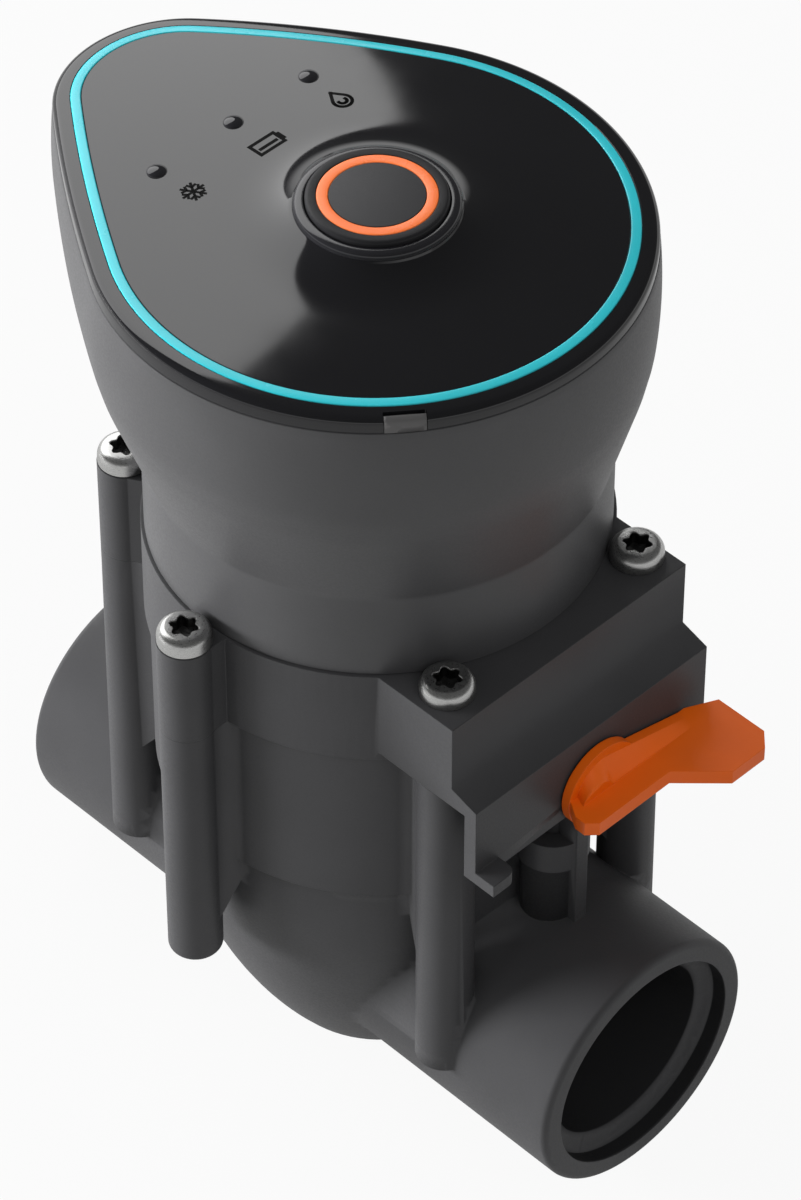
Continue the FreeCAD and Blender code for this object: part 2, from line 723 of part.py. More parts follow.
def make_poppet_guide():
    disc_low = SEAT_Z - GUIDE_DISC_T
    solids = [cylinder(GUIDE_DISC_R, disc_low, SEAT_Z), cylinder(GUIDE_HUB_R, SEAT_Z - GUIDE_LENGTH, SEAT_Z)]
    vane = box(0, GUIDE_R, -VANE_T / 2, VANE_T / 2, SEAT_Z - GUIDE_LENGTH, disc_low)
    solids += [turned(vane, 360.0 / GUIDE_VANES * i) for i in range(GUIDE_VANES)]
    high = diaphragm_levels()[1] + PLATE_T
    return fuse(solids).cut(cylinder(POPPET_BOLT_R, high - POPPET_BOLT_LENGTH, SEAT_Z))


def make_poppet_bolt():
    high = diaphragm_levels()[1] + PLATE_T
    shank = cylinder(POPPET_BOLT_R - FIT_GAP, high - POPPET_BOLT_LENGTH, high)
    return fuse([shank, hexagon(POPPET_HEAD_AF, high, high + POPPET_HEAD_H)])


def make_main_spring():
    high = diaphragm_levels()[1] + PLATE_T
    return tube(SPRING_R + SPRING_WIRE / 2, SPRING_R - SPRING_WIRE / 2, high, ROOF_Z)


# Pilot solenoid

def make_core_tube():
    base_top = COVER_TOP_Z + CORE_BASE_T
    solids = [cylinder(CORE_THREAD_R, COVER_TOP_Z - CORE_THREAD_LENGTH, COVER_TOP_Z),
              hexagon(CORE_BASE_AF, COVER_TOP_Z, base_top),
              cylinder(CORE_TUBE_R, base_top, CORE_TUBE_TOP_Z)]
    return fuse(solids).cut(cylinder(CORE_BORE_R, COVER_TOP_Z - CORE_THREAD_LENGTH, CORE_TUBE_TOP_Z))


def make_fixed_core():
    return cylinder(CORE_BORE_R - FIT_GAP, PLUNGER_TOP_Z + PLUNGER_TRAVEL + FIT_GAP, CORE_TUBE_TOP_Z)


def plunger_foot_z():
    return COVER_TOP_Z - CORE_POCKET + PILOT_H + PLUNGER_FOOT


def make_plunger():
    foot = plunger_foot_z()
    body = cylinder(CORE_BORE_R - FIT_GAP, foot, PLUNGER_TOP_Z)
    pocket = cylinder(SEAL_R + FIT_GAP, foot, foot - PLUNGER_FOOT + SEAL_T)
    well = cylinder(SEAL_R + FIT_GAP, PLUNGER_TOP_Z - PLUNGER_SPRING_DEPTH, PLUNGER_TOP_Z)
    return body.cut(pocket).cut(well)


def make_plunger_seal():
    foot = plunger_foot_z() - PLUNGER_FOOT
    return cylinder(SEAL_R, foot, foot + SEAL_T)


def make_plunger_spring():
    top = PLUNGER_TOP_Z + PLUNGER_TRAVEL + FIT_GAP
    return tube(SEAL_R - PLUNGER_SPRING_GAP, SEAL_R - PLUNGER_SPRING_GAP - PLUNGER_SPRING_WIRE,
                PLUNGER_TOP_Z - PLUNGER_SPRING_DEPTH, top)


def yoke_bottom_z():
    return COVER_TOP_Z + CORE_BASE_T


def make_solenoid_yoke():
    low = yoke_bottom_z()
    outside = box(-YOKE_HALF_X, YOKE_HALF_X, -YOKE_HALF_Y, YOKE_HALF_Y, low, YOKE_TOP_Z)
    inside = box(-YOKE_HALF_X, YOKE_HALF_X, YOKE_T - YOKE_HALF_Y, YOKE_HALF_Y - YOKE_T, low + YOKE_T,
                 YOKE_TOP_Z - YOKE_T)
    return outside.cut(inside).cut(cylinder(CORE_TUBE_R + FIT_GAP, low, YOKE_TOP_Z))


def make_coil_bobbin():
    low = yoke_bottom_z() + YOKE_T
    high = YOKE_TOP_Z - YOKE_T
    room = tube(BOBBIN_R, BOBBIN_CORE_R, low + BOBBIN_FLANGE, high - BOBBIN_FLANGE)
    bobbin = cylinder(BOBBIN_R, low, high).cut(room)
    return bobbin.cut(cylinder(CORE_TUBE_R + FIT_GAP, low, high))


def make_coil_winding():
    low = yoke_bottom_z() + YOKE_T + BOBBIN_FLANGE
    high = YOKE_TOP_Z - YOKE_T - BOBBIN_FLANGE
    return tube(WINDING_R, BOBBIN_CORE_R, low, high)


def make_coil_nut():
    return hexagon(COIL_NUT_AF, YOKE_TOP_Z, YOKE_TOP_Z + COIL_NUT_T).cut(
        cylinder(CORE_TUBE_R + FIT_GAP, YOKE_TOP_Z, YOKE_TOP_Z + COIL_NUT_T))


def make_core_seal():
    return o_ring(CORE_THREAD_R + ROOM_WIDE * O_RING_R / 2, O_RING_R, COVER_TOP_Z - ROOM_DEEP * O_RING_R / 2)


# Manual bleed

def make_bleed_spindle():
    front = WALL_X + HUB_GAP
    solids = [cylinder_x(SPINDLE_R, SPINDLE_BACK_X, front, LEVER_Z),
              cylinder_x(SPINDLE_TIP_R, front, front + HUB_T + HUB_BORE_DEPTH, LEVER_Z)]
    groove_end = SPINDLE_GROOVE_X + GROOVE_WIDTH
    groove = cylinder_x(SPINDLE_R, SPINDLE_GROOVE_X, groove_end, LEVER_Z).cut(
        cylinder_x(SPINDLE_R - GROOVE_DEPTH, SPINDLE_GROOVE_X, groove_end, LEVER_Z))
    return fuse(solids).cut(groove)


def make_spindle_seal():
    centre = Vector(SPINDLE_GROOVE_X + GROOVE_WIDTH / 2, 0, LEVER_Z)
    return Part.makeTorus(SPINDLE_R - GROOVE_DEPTH / 2, RING_FILL * GROOVE_DEPTH, centre, Vector(1, 0, 0))


def drop_wire(x, r, heel_y, half):
    """A drop-shaped outline facing X: a half round at the heel with two straight sides to its tail."""
    bottom, top = Vector(x, 0, LEVER_Z - r), Vector(x, 0, LEVER_Z + r)
    low, high = Vector(x, TAIL_Y, LEVER_Z - half), Vector(x, TAIL_Y, LEVER_Z + half)
    heel = Part.Arc(top, Vector(x, heel_y, LEVER_Z), bottom).toShape()
    return Part.Wire([heel, Part.makeLine(bottom, low), Part.makeLine(low, high), Part.makeLine(high, top)])


def make_lever():
    back = WALL_X + HUB_GAP
    hub_front = back + HUB_T
    half = FIN_T / 2
    c = FIN_CHAMFER
    fin = [(back, FIN_HEEL_Y), (FIN_TOE_X, FIN_TOE_Y), (FIN_TOE_END_X, FIN_TOE_Y), (FIN_NECK_X, FIN_SIDE_Y),
           (FIN_NECK_X, FIN_KINK_Y), (FIN_WIDE_X, FIN_WIDE_Y), (FIN_WIDE_X, FIN_END_Y - c),
           (FIN_WIDE_X - c, FIN_END_Y), (back + c, FIN_END_Y), (back, FIN_TAIL_Y)]
    boss = Part.makeLoft([drop_wire(back, HUB_BOSS_R, -HUB_BOSS_R, half),
                          drop_wire(hub_front, HUB_BOSS_R, -HUB_BOSS_R, half),
                          drop_wire(hub_front + HUB_BOSS_T, half + TAIL_LIFT, HEEL_Y, half)], True, True)
    disc = cylinder_x(HUB_R, back, hub_front, LEVER_Z)
    bore = cylinder_x(SPINDLE_TIP_R + FIT_GAP, back, hub_front + HUB_BORE_DEPTH, LEVER_Z)
    return fuse([disc, boss, prism_xy(fin, LEVER_Z - half, LEVER_Z + half)]).cut(bore)


def make_bleed_post_seal():
    return o_ring(PLUG_R + (PLUG_GAP - PLUG_GROOVE_DEPTH) / 2, RING_FILL * PLUG_GROOVE_DEPTH,
                  PLUG_GROOVE_Z + PLUG_GROOVE_WIDTH / 2, POST_X)


# Control head

def head_screw_spots():
    angles = [FIRST_HEAD_SCREW_ANGLE + 360.0 / HEAD_SCREW_COUNT * i for i in range(HEAD_SCREW_COUNT)]
    return [(HEAD_SCREW_RING * math.cos(math.radians(a)), HEAD_SCREW_RING * math.sin(math.radians(a)))
            for a in angles]


def make_head_housing():
    lower, upper = head_form(0)
    solid = fuse([cylinder(NECK_R, COVER_TOP_Z, CREASE_Z), lower, upper])
    lower_in, upper_in = head_form(HEAD_WALL)
    above = box(-PORT_HALF - TIP_R, PORT_HALF, -PORT_HALF, PORT_HALF, LEDGE_Z, RIM_Z)
    room = fuse([lower_in.common(above), upper_in])
    floor_top = COVER_TOP_Z + FLOOR_T
    seal_room = tube(FLOOR_HOLE_R + ROOM_WIDE * NECK_SEAL_R, FLOOR_HOLE_R, COVER_TOP_Z,
                     COVER_TOP_Z + ROOM_DEEP * NECK_SEAL_R)
    housing = solid.cut(room).cut(cylinder(LEDGE_R, floor_top, LEDGE_Z)).cut(
        cylinder(FLOOR_HOLE_R, COVER_TOP_Z, floor_top)).cut(seal_room)
    for x, y in head_screw_spots():
        housing = housing.cut(cylinder(HEAD_SCREW_R + SCREW_CLEARANCE, COVER_TOP_Z, floor_top, x, y))
    return housing.cut(plan_ring(GASKET_OUT, GASKET_IN, RIM_Z - GASKET_DEPTH, RIM_Z))


def make_neck_seal():
    return o_ring(FLOOR_HOLE_R + ROOM_WIDE * NECK_SEAL_R / 2, NECK_SEAL_R,
                  COVER_TOP_Z + ROOM_DEEP * NECK_SEAL_R / 2)


def make_head_screws():
    floor_top = COVER_TOP_Z + FLOOR_T
    screw = fuse([cylinder(HEAD_SCREW_R, COVER_TOP_Z - HEAD_SCREW_GRIP, floor_top),
                  cylinder(HEAD_SCREW_HEAD_R, floor_top, floor_top + HEAD_SCREW_HEAD_H)])
    return Part.makeCompound([moved(screw, x, y, 0) for x, y in head_screw_spots()])


def make_lid_seal():
    return plan_ring(GASKET_OUT - FIT_GAP, GASKET_IN + FIT_GAP, RIM_Z - GASKET_DEPTH, RIM_Z)


def battery_span():
    return BATTERY_X - BATTERY_LENGTH / 2, BATTERY_X + BATTERY_LENGTH / 2


def make_battery_tray():
    deck_top = LEDGE_Z + TRAY_T
    x0, x1 = battery_span()
    half = BATTERY_WIDTH / 2 + BATTERY_GAP + CRADLE_WALL
    back = x0 - BATTERY_GAP - CRADLE_WALL
    front = x1 + BATTERY_STUD + CONTACT_T + CONTACT_ROOM + CRADLE_WALL
    deck = fuse([cylinder(TRAY_R, LEDGE_Z, deck_top), box(back, front, -half, half, LEDGE_Z, deck_top)])
    cradle = box(back, front, -half, half, deck_top, deck_top + CRADLE_H).cut(
        box(back + CRADLE_WALL, front - CRADLE_WALL, CRADLE_WALL - half, half - CRADLE_WALL, deck_top,
            deck_top + CRADLE_H))
    finger = box(BATTERY_X - FINGER_HALF, BATTERY_X + FINGER_HALF, -half, half, deck_top + FINGER_Z,
                 deck_top + CRADLE_H)
    return fuse([deck, cradle.cut(finger)])


def make_battery():
    deck_top = LEDGE_Z + TRAY_T
    x0, x1 = battery_span()
    case = box(x0, x1, -BATTERY_WIDTH / 2, BATTERY_WIDTH / 2, deck_top, deck_top + BATTERY_HEIGHT)
    long_edges = [edge for edge in case.Edges if edge.BoundBox.XLength > BATTERY_LENGTH / 2]
    case = case.makeFillet(BATTERY_EDGE_R, long_edges)
    middle = deck_top + BATTERY_HEIGHT / 2
    studs = [cylinder_x(STUD_R, x1 - SINK, x1 + BATTERY_STUD, middle, side * STUD_PITCH / 2)
             for side in (-1, 1)]
    return fuse([case] + studs)


def make_battery_contacts():
    deck_top = LEDGE_Z + TRAY_T
    x = battery_span()[1] + BATTERY_STUD
    half = CONTACT_WIDTH / 2
    strips = []
    for side in (-1, 1):
        y = side * STUD_PITCH / 2
        upright = box(x, x + CONTACT_T, y - half, y + half, deck_top, deck_top + CONTACT_H)
        foot = box(x, x + CONTACT_T + CONTACT_FOOT, y - half, y + half, deck_top, deck_top + CONTACT_T)
        strips.append(fuse([upright, foot]))
    return Part.makeCompound(strips)


def make_contact_pins():
    deck_top = LEDGE_Z + TRAY_T
    pin = fuse([cylinder(PIN_R, deck_top, BOARD_Z - PIN_GAP),
                cylinder(PIN_SLEEVE_R, deck_top, deck_top + PIN_SLEEVE_H)])
    rows = [(i - (PIN_COUNT - 1) / 2) * PIN_PITCH for i in range(PIN_COUNT)]
    return Part.makeCompound([moved(pin, PIN_X, y, 0) for y in rows])


# Lid and what hangs from it

def lid_blank():
    plate = plan_prism(LID_OFF, RIM_Z, CROWN_Z).common(crown(0))
    top_edges = [edge for edge in plate.Edges if edge.BoundBox.ZMin > RIM_Z + LID_ROOF]
    return plate.makeFillet(LID_EDGE_R, top_edges)


def swelling():
    low = (SWELL_R, RIM_Z + SWELL_LOW)
    top = (SWELL_TOP_R, RIM_Z + SWELL_TOP)
    edges = [arc_through(low, (SWELL_MID_R, RIM_Z + SWELL_MID), top)]
    edges += lines([top, (0, RIM_Z + SWELL_TOP), (0, RIM_Z + SWELL_LOW), low])
    return spin(edges)


def latch_frame(solid):
    """Move a solid made about the X axis at the wide arc's centre to the latch's place."""
    copy = turned(solid, LATCH_ANGLE)
    copy.translate(Vector(MAIN_X, 0, 0))
    return copy


def latch_block(reach, half, z0, z1):
    """A block from the lid's edge inwards by reach, at the latch's place."""
    outer = MAIN_R + LID_OFF
    return latch_frame(box(outer - reach, outer + SINK, -half, half, z0, z1))


def hinge_slots():
    """The long slots under the lid's edge on both flanks of the tip."""
    reach = MAIN_R
    cutter = fuse([box(TIP_X - reach, SLOT_X, SLOT_Y, reach, RIM_Z, RIM_Z + SLOT_H),
                   box(TIP_X - reach, SLOT_X, -reach, -SLOT_Y, RIM_Z, RIM_Z + SLOT_H)])
    return plan_ring(LID_OFF + SINK, LID_OFF - SLOT_DEPTH, RIM_Z, RIM_Z + SLOT_H).common(cutter)


def light_spots():
    return [(LIGHT_X, (i - 1) * LIGHT_PITCH) for i in range(3)]


def post_spots():
    ring = MAIN_R + BOARD_OFF - BOARD_POST_INSET
    angles = [math.radians(side * a) for a in BOARD_POST_ANGLES for side in (-1, 1)]
    return [(MAIN_X + ring * math.cos(a), ring * math.sin(a)) for a in angles]


def tongue_offsets():
    outer = RIM_OFF - HEAD_WALL - TONGUE_GAP
    return outer, outer - TONGUE_T


def make_lid():
    tongue_out, tongue_in = tongue_offsets()
    roof = RIM_Z + LID_ROOF
    board_top = BOARD_Z + BOARD_T
    lid = fuse([lid_blank(), swelling(), plan_prism(tongue_out, RIM_Z - TONGUE_H, RIM_Z + LID_ROOF / 2)])
    lid = lid.cut(plan_prism(tongue_in, RIM_Z - TONGUE_H, roof))
    posts = [cylinder(BOARD_POST_R, board_top, roof + LID_ROOF, x, y) for x, y in post_spots()]
    lid = fuse([lid] + posts)
    groove = plan_ring(RING_HALF + FIT_GAP, -RING_HALF - FIT_GAP, RIM_Z, CROWN_Z).cut(crown(RING_DEPTH))
    room = LATCH_T + LATCH_TRAVEL + LATCH_GAP
    notch = latch_block(room, LATCH_WIDTH / 2 + LATCH_GAP, RIM_Z, CROWN_Z)
    guide_way = latch_block(room + LATCH_GUIDE_REACH, LATCH_GUIDE_WIDTH / 2 + LATCH_GAP,
                            LATCH_GUIDE_Z - LATCH_GAP, LATCH_GUIDE_Z + LATCH_GUIDE_T + LATCH_GAP)
    cuts = [groove, notch, guide_way, hinge_slots(),
            cylinder(BUTTON_R + BUTTON_GAP, RIM_Z, BEZEL_TOP_Z),
            cylinder(BUTTON_FLANGE_R + BUTTON_GAP, RIM_Z, BUTTON_FLANGE_Z + BUTTON_FLANGE_T + BUTTON_GAP),
            cylinder(BEZEL_R + FIT_GAP, BEZEL_TOP_Z - BEZEL_H, BEZEL_TOP_Z)]
    cuts += [cylinder(LIGHT_R + FIT_GAP, RIM_Z, CROWN_Z, x, y) for x, y in light_spots()]
    cuts += [cylinder(BOARD_SCREW_R + FIT_GAP, board_top, board_top + BOARD_SCREW_GRIP, x, y)
             for x, y in post_spots()]
    for piece in cuts:
        lid = lid.cut(piece)
    return lid


def make_ring_inlay():
    return plan_ring(RING_HALF, -RING_HALF, RIM_Z, CROWN_Z).common(crown(0)).cut(crown(RING_DEPTH))


def make_latch_tab():
    tab = lid_blank().common(latch_block(LATCH_T, LATCH_WIDTH / 2, RIM_Z + LATCH_GAP, CROWN_Z))
    guide = latch_block(LATCH_T + LATCH_GUIDE_REACH, LATCH_GUIDE_WIDTH / 2, LATCH_GUIDE_Z,
                        LATCH_GUIDE_Z + LATCH_GUIDE_T)
    return fuse([tab, lid_blank().common(guide)])


def make_button_bezel():
    bezel = tube(BEZEL_R, BUTTON_R + BUTTON_GAP, BEZEL_TOP_Z - BEZEL_H, BEZEL_TOP_Z)
    outer = [edge for edge in bezel.Edges if edge.BoundBox.XLength > BEZEL_R + BUTTON_R + BUTTON_GAP
             and edge.BoundBox.ZMin > BEZEL_TOP_Z - BEZEL_H / 2]
    return bezel.makeFillet(BUTTON_EDGE_R, outer)


def make_button_cap():
    low = BUTTON_FLANGE_Z
    cap = cylinder(BUTTON_R, low, BUTTON_TOP_Z)
    top_edge = [edge for edge in cap.Edges if edge.BoundBox.ZMin > low + BUTTON_EDGE_R]
    cap = cap.makeFillet(BUTTON_EDGE_R, top_edge)
    cap = fuse([cap, cylinder(BUTTON_FLANGE_R, low, low + BUTTON_FLANGE_T)])
    cap = cap.cut(cylinder(BUTTON_HOLLOW_R, low, BUTTON_TOP_Z - BUTTON_ROOF))
    stem_low = BOARD_Z + BOARD_T + SWITCH_H + SWITCH_PIN_H + BUTTON_TRAVEL + BUTTON_END_GAP
    cap = fuse([cap, cylinder(BUTTON_STEM_R, stem_low, BUTTON_TOP_Z - SINK)])
    return cap.cut(tube(BUTTON_RING_OUT + FIT_GAP, BUTTON_RING_IN - FIT_GAP, BUTTON_TOP_Z - BUTTON_RING_DEPTH,
                        BUTTON_TOP_Z))


def make_button_ring():
    return tube(BUTTON_RING_OUT, BUTTON_RING_IN, BUTTON_TOP_Z - BUTTON_RING_DEPTH, BUTTON_TOP_Z)


def make_button_spring():
    half = BUTTON_SPRING_WIRE / 2
    return tube(BUTTON_SPRING_R + half, BUTTON_SPRING_R - half, BOARD_Z + BOARD_T, BUTTON_FLANGE_Z)


def make_circuit_board():
    board = plan_prism(BOARD_OFF, BOARD_Z, BOARD_Z + BOARD_T)
    for x, y in post_spots():
        board = board.cut(cylinder(BOARD_SCREW_R + SCREW_CLEARANCE, BOARD_Z, BOARD_Z + BOARD_T, x, y))
    return board


def make_board_screws():
    top = BOARD_Z + BOARD_T + BOARD_SCREW_GRIP
    screw = fuse([cylinder(BOARD_SCREW_R, BOARD_Z, top),
                  cylinder(BOARD_SCREW_HEAD_R, BOARD_Z - BOARD_SCREW_HEAD_H, BOARD_Z)])
    return Part.makeCompound([moved(screw, x, y, 0) for x, y in post_spots()])


def make_status_leds():
    length, width, height = LED_SIZE
    top = BOARD_Z + BOARD_T
    chips = [box(x - length / 2, x + length / 2, y - width / 2, y + width / 2, top, top + height)
             for x, y in light_spots()]
    return Part.makeCompound(chips)


def make_led_lenses():
    roof = RIM_Z + LID_ROOF
    low = BOARD_Z + BOARD_T + LED_SIZE[2] + LIGHT_GAP
    lenses = []
    for x, y in light_spots():
        reach = math.hypot(x - CROWN_X, y)
        skin = CROWN_Z - CROWN_R + math.sqrt(CROWN_R ** 2 - reach ** 2)
        dome_r = (LIGHT_R ** 2 + LIGHT_DOME ** 2) / (2 * LIGHT_DOME)
        dome = Part.makeSphere(dome_r, Vector(x, y, skin + LIGHT_DOME - dome_r))
        form = fuse([dome, cylinder(LIGHT_R, low, skin, x, y)])
        stem = cylinder(LIGHT_R, low, skin + LIGHT_DOME, x, y).common(form)
        lenses.append(fuse([stem, cylinder(LIGHT_FLANGE_R, roof - LIGHT_FLANGE_T, roof, x, y)]))
    return Part.makeCompound(lenses)


def make_tact_switch():
    low = BOARD_Z + BOARD_T
    half = SWITCH_SIZE / 2
    return fuse([box(-half, half, -half, half, low, low + SWITCH_H),
                 cylinder(SWITCH_PIN_R, low, low + SWITCH_H + SWITCH_PIN_H)])


NODES = {
    "valve_body": make_valve_body,
    "outlet_socket": make_outlet_socket,
    "inlet_socket": make_inlet_socket,
    "seat_insert": make_seat_insert,
    "bleed_post": make_bleed_post,
    "bonnet": make_bonnet,
    "cover_screws": make_cover_screws,
    "diaphragm": make_diaphragm,
    "seat_washer": make_seat_washer,
    "diaphragm_plate": make_diaphragm_plate,
    "metering_screen": make_metering_screen,
    "poppet_guide": make_poppet_guide,
    "poppet_bolt": make_poppet_bolt,
    "main_spring": make_main_spring,
    "core_tube": make_core_tube,
    "fixed_core": make_fixed_core,
    "plunger": make_plunger,
    "plunger_seal": make_plunger_seal,
    "plunger_spring": make_plunger_spring,
    "solenoid_yoke": make_solenoid_yoke,
    "coil_bobbin": make_coil_bobbin,
    "coil_winding": make_coil_winding,
    "coil_nut": make_coil_nut,
    "core_seal": make_core_seal,
    "bleed_spindle": make_bleed_spindle,
    "spindle_seal": make_spindle_seal,
    "lever": make_lever,
    "bleed_post_seal": make_bleed_post_seal,
    "head_housing": make_head_housing,
    "neck_seal": make_neck_seal,
    "head_screws": make_head_screws,
    "lid_seal": make_lid_seal,
    "battery_tray": make_battery_tray,
    "battery": make_battery,
    "battery_contacts": make_battery_contacts,
    "contact_pins": make_contact_pins,
    "lid": make_lid,
    "ring_inlay": make_ring_inlay,
    "latch_tab": make_latch_tab,
    "button_bezel": make_button_bezel,
    "button_cap": make_button_cap,
    "button_ring": make_button_ring,
    "button_spring": make_button_spring,
    "circuit_board": make_circuit_board,
    "board_screws": make_board_screws,
    "status_leds": make_status_leds,
    "led_lenses": make_led_lenses,
    "tact_switch": make_tact_switch,
}


def main():
    os.makedirs("parts", exist_ok=True)
    for name, make in NODES.items():
        shape = make()
        shape.exportStep("parts/" + name + ".step")
        print(name, "solids", len(shape.Solids), "valid", shape.isValid(), "volume", round(shape.Volume, 1))


main()
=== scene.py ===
"""Looks and studio of a battery powered water valve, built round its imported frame. Metres, Z up."""
import json
import math

import bmesh
import bpy
from mathutils import Matrix, Vector


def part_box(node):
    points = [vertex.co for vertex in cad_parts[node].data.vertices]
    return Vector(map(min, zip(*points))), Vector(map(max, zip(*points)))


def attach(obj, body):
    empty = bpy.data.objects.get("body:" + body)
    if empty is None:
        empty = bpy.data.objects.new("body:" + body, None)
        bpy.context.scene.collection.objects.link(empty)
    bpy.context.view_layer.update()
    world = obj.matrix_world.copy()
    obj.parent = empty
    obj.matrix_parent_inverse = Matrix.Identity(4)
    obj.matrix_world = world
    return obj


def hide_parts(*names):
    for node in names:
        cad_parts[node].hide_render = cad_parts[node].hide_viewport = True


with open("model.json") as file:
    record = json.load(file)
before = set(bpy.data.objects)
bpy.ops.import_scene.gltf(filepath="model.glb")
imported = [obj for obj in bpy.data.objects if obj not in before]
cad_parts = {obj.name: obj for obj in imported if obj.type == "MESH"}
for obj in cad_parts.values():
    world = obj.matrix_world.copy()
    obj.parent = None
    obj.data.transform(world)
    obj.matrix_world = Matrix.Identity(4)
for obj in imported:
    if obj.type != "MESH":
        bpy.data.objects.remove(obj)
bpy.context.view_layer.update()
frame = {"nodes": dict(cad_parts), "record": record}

bl_info = {
    "name": "Water valve",
    "version": (1, 0, 0),
    "blender": (4, 5, 0),
    "location": "View3D > Sidebar > Valve",
    "description": "Builds the visible pieces, finishes and studio of a battery powered water valve",
    "category": "Object",
}

MM = 0.001
X, Z = 0, 2


def low(node, axis=Z):
    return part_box(node)[0][axis]


def high(node, axis=Z):
    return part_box(node)[1][axis]


# Heights and radii that several pieces share, read from the frame
NECK_FOOT = low("head_housing")
COVER_TOP = NECK_FOOT
RIM = high("head_housing")
BUTTON_TOP = high("button_cap")
BUTTON_FOOT = low("button_cap")
BUTTON_FLANGE = high("button_cap", X)
BEZEL_TOP = high("button_bezel")
BEZEL_FOOT = low("button_bezel")
BEZEL_REACH = high("button_bezel", X)

# Room round the moving button, and round a piece that is let into another
BUTTON_GAP = 0.15 * MM
SEAT_GAP = 0.05 * MM

# How near two points are when they are taken as one, in a new mesh and in the frame's triangles
MERGE = 1e-7
FRAME_MERGE = 1e-6


# Settings

def length(name, default, about):
    return bpy.props.FloatProperty(name=name, default=default, description=about, unit="LENGTH", precision=5)


def colour(name, default, about):
    return bpy.props.FloatVectorProperty(name=name, default=default, description=about, subtype="COLOR",
                                         size=3, min=0.0, max=1.0)


def power(name, default, about):
    return bpy.props.FloatProperty(name=name, default=default, description=about, unit="POWER", min=0.0)


class ValveSizes(bpy.types.PropertyGroup):
    """Sizes of the control head, the ports and the small visible pieces"""
    main_radius: length("Wide radius", 37.1 * MM, "Radius of the wide arc of the head, at the coloured ring")
    main_x: length("Wide centre", -1.1 * MM, "Place of the wide arc's centre along the pipe")
    tip_radius: length("Tip radius", 14.8 * MM, "Radius of the narrow tip, at the coloured ring")
    tip_x: length("Tip centre", -40.8 * MM, "Place of the tip's centre along the pipe")
    flank_radius: length("Flank radius", 264.7 * MM, "Radius of the nearly straight flanks")
    neck_radius: length("Neck radius", 34.5 * MM, "Outside radius of the round neck")
    crease: length("Crease height", 15.0 * MM, "Height of the crease above the neck's foot")
    belly: length("Belly height", 32.5 * MM, "Height at which the head reaches its full plan")
    belly_offset: length("Belly offset", 3.2 * MM, "How far the belly stands out from the ring's line")
    bulge_offset: length("Bulge offset", 3.9 * MM, "How far the widest line stands out")
    rim_offset: length("Rim offset", 3.5 * MM, "How far the housing's rim stands out")
    lid_offset: length("Lid offset", 3.4 * MM, "How far the lid's edge stands out")
    wall: length("Wall", 2.4 * MM, "Wall of the head housing")
    crown_radius: length("Crown radius", 500.0 * MM, "Radius of the lid's gentle crown")
    crown_x: length("Crown centre", -8.0 * MM, "Place of the crown's highest point along the pipe")
    crown_height: length("Crown height", 4.6 * MM, "Height of the crown above the rim")
    ring_half: length("Ring half width", 0.75 * MM, "Half the width of the coloured ring")
    pipe_height: length("Pipe height", 21.7 * MM, "Height of the pipe's axis above the foot")
    way_radius: length("Waterway radius", 11.5 * MM, "Radius of the waterway behind the thread")
    thread_radius: length("Thread radius", 15.15 * MM, "Minor radius of the pipe thread")
    lip_radius: length("Lip radius", 18.0 * MM, "Radius of the recess in the port's end")
    lip_depth: length("Lip depth", 2.6 * MM, "Depth of the recess in the port's end")
    lead_in: length("Lead-in", 1.2 * MM, "Length of the cone between the recess and the thread")
    cap_radius: length("Button radius", 10.2 * MM, "Radius of the push button")
    swell_radius: length("Swelling radius", 22.5 * MM, "Radius at which the lid starts to swell up")
    collar_stand: length("Collar stand", 1.0 * MM, "How far the collar stands above the lid round it")
    bolt_radius: length("Bolt circle radius", 39.0 * MM, "Radius of the circle of the six cover screws")
    lobe_radius: length("Screw drive radius", 2.15 * MM, "Outer radius of the six-lobe screw drive")
    light_x: length("Lights", -29.3 * MM, "Place of the row of status lights along the pipe")
    light_pitch: length("Light pitch", 14.9 * MM, "Distance between status lights")
    symbol_x: length("Symbols", -22.3 * MM, "Place of the row of symbols along the pipe")
    symbol_pitch: length("Symbol pitch", 14.4 * MM, "Distance between symbols")


class ValveColours(bpy.types.PropertyGroup):
    """Colours of the finishes that show, as linear values"""
    body: colour("Body", (0.040, 0.040, 0.042), "Moulded body and cover")
    head: colour("Head", (0.048, 0.048, 0.050), "Housing of the control head")
    gloss: colour("Lid", (0.006, 0.006, 0.007), "High gloss lid")
    ring: colour("Ring", (0.022, 0.47, 0.54), "Coloured ring in the lid")
    signal: colour("Button ring", (0.86, 0.17, 0.03), "Ring in the push button")
    lever: colour("Lever", (0.80, 0.125, 0.0035), "Manual bleed lever")
    button: colour("Button", (0.024, 0.024, 0.026), "Push button")
    collar: colour("Collar", (0.012, 0.012, 0.014), "Collar round the push button")
    steel: colour("Steel", (0.52, 0.52, 0.51), "Stainless steel screws")
    lens: colour("Lens", (0.012, 0.012, 0.014), "Domes of the status lights")
    tab: colour("Tab", (0.085, 0.083, 0.083), "Release tab in the lid's edge")
    ink: colour("Ink", (0.004, 0.004, 0.004), "Symbols printed on the lid")
    floor: colour("Floor", (0.32, 0.32, 0.32), "Studio floor")


class ValveStudio(bpy.types.PropertyGroup):
    """Strengths of the studio lights"""
    key: power("Key", 18.0, "Power of the large soft key light")
    side: power("Side", 32.0, "Power of the low side light")
    fill: power("Fill", 4.0, "Power of the fill light")
    sky: bpy.props.FloatProperty(name="Sky", default=1.0, min=0.0,
                                 description="Strength of the surroundings")


def settings():
    scene = bpy.context.scene
    return scene.valve_sizes, scene.valve_colours, scene.valve_studio


# Plan outline of the control head

ARC_STEPS = {"wide": 150, "flank": 20, "tip": 36}


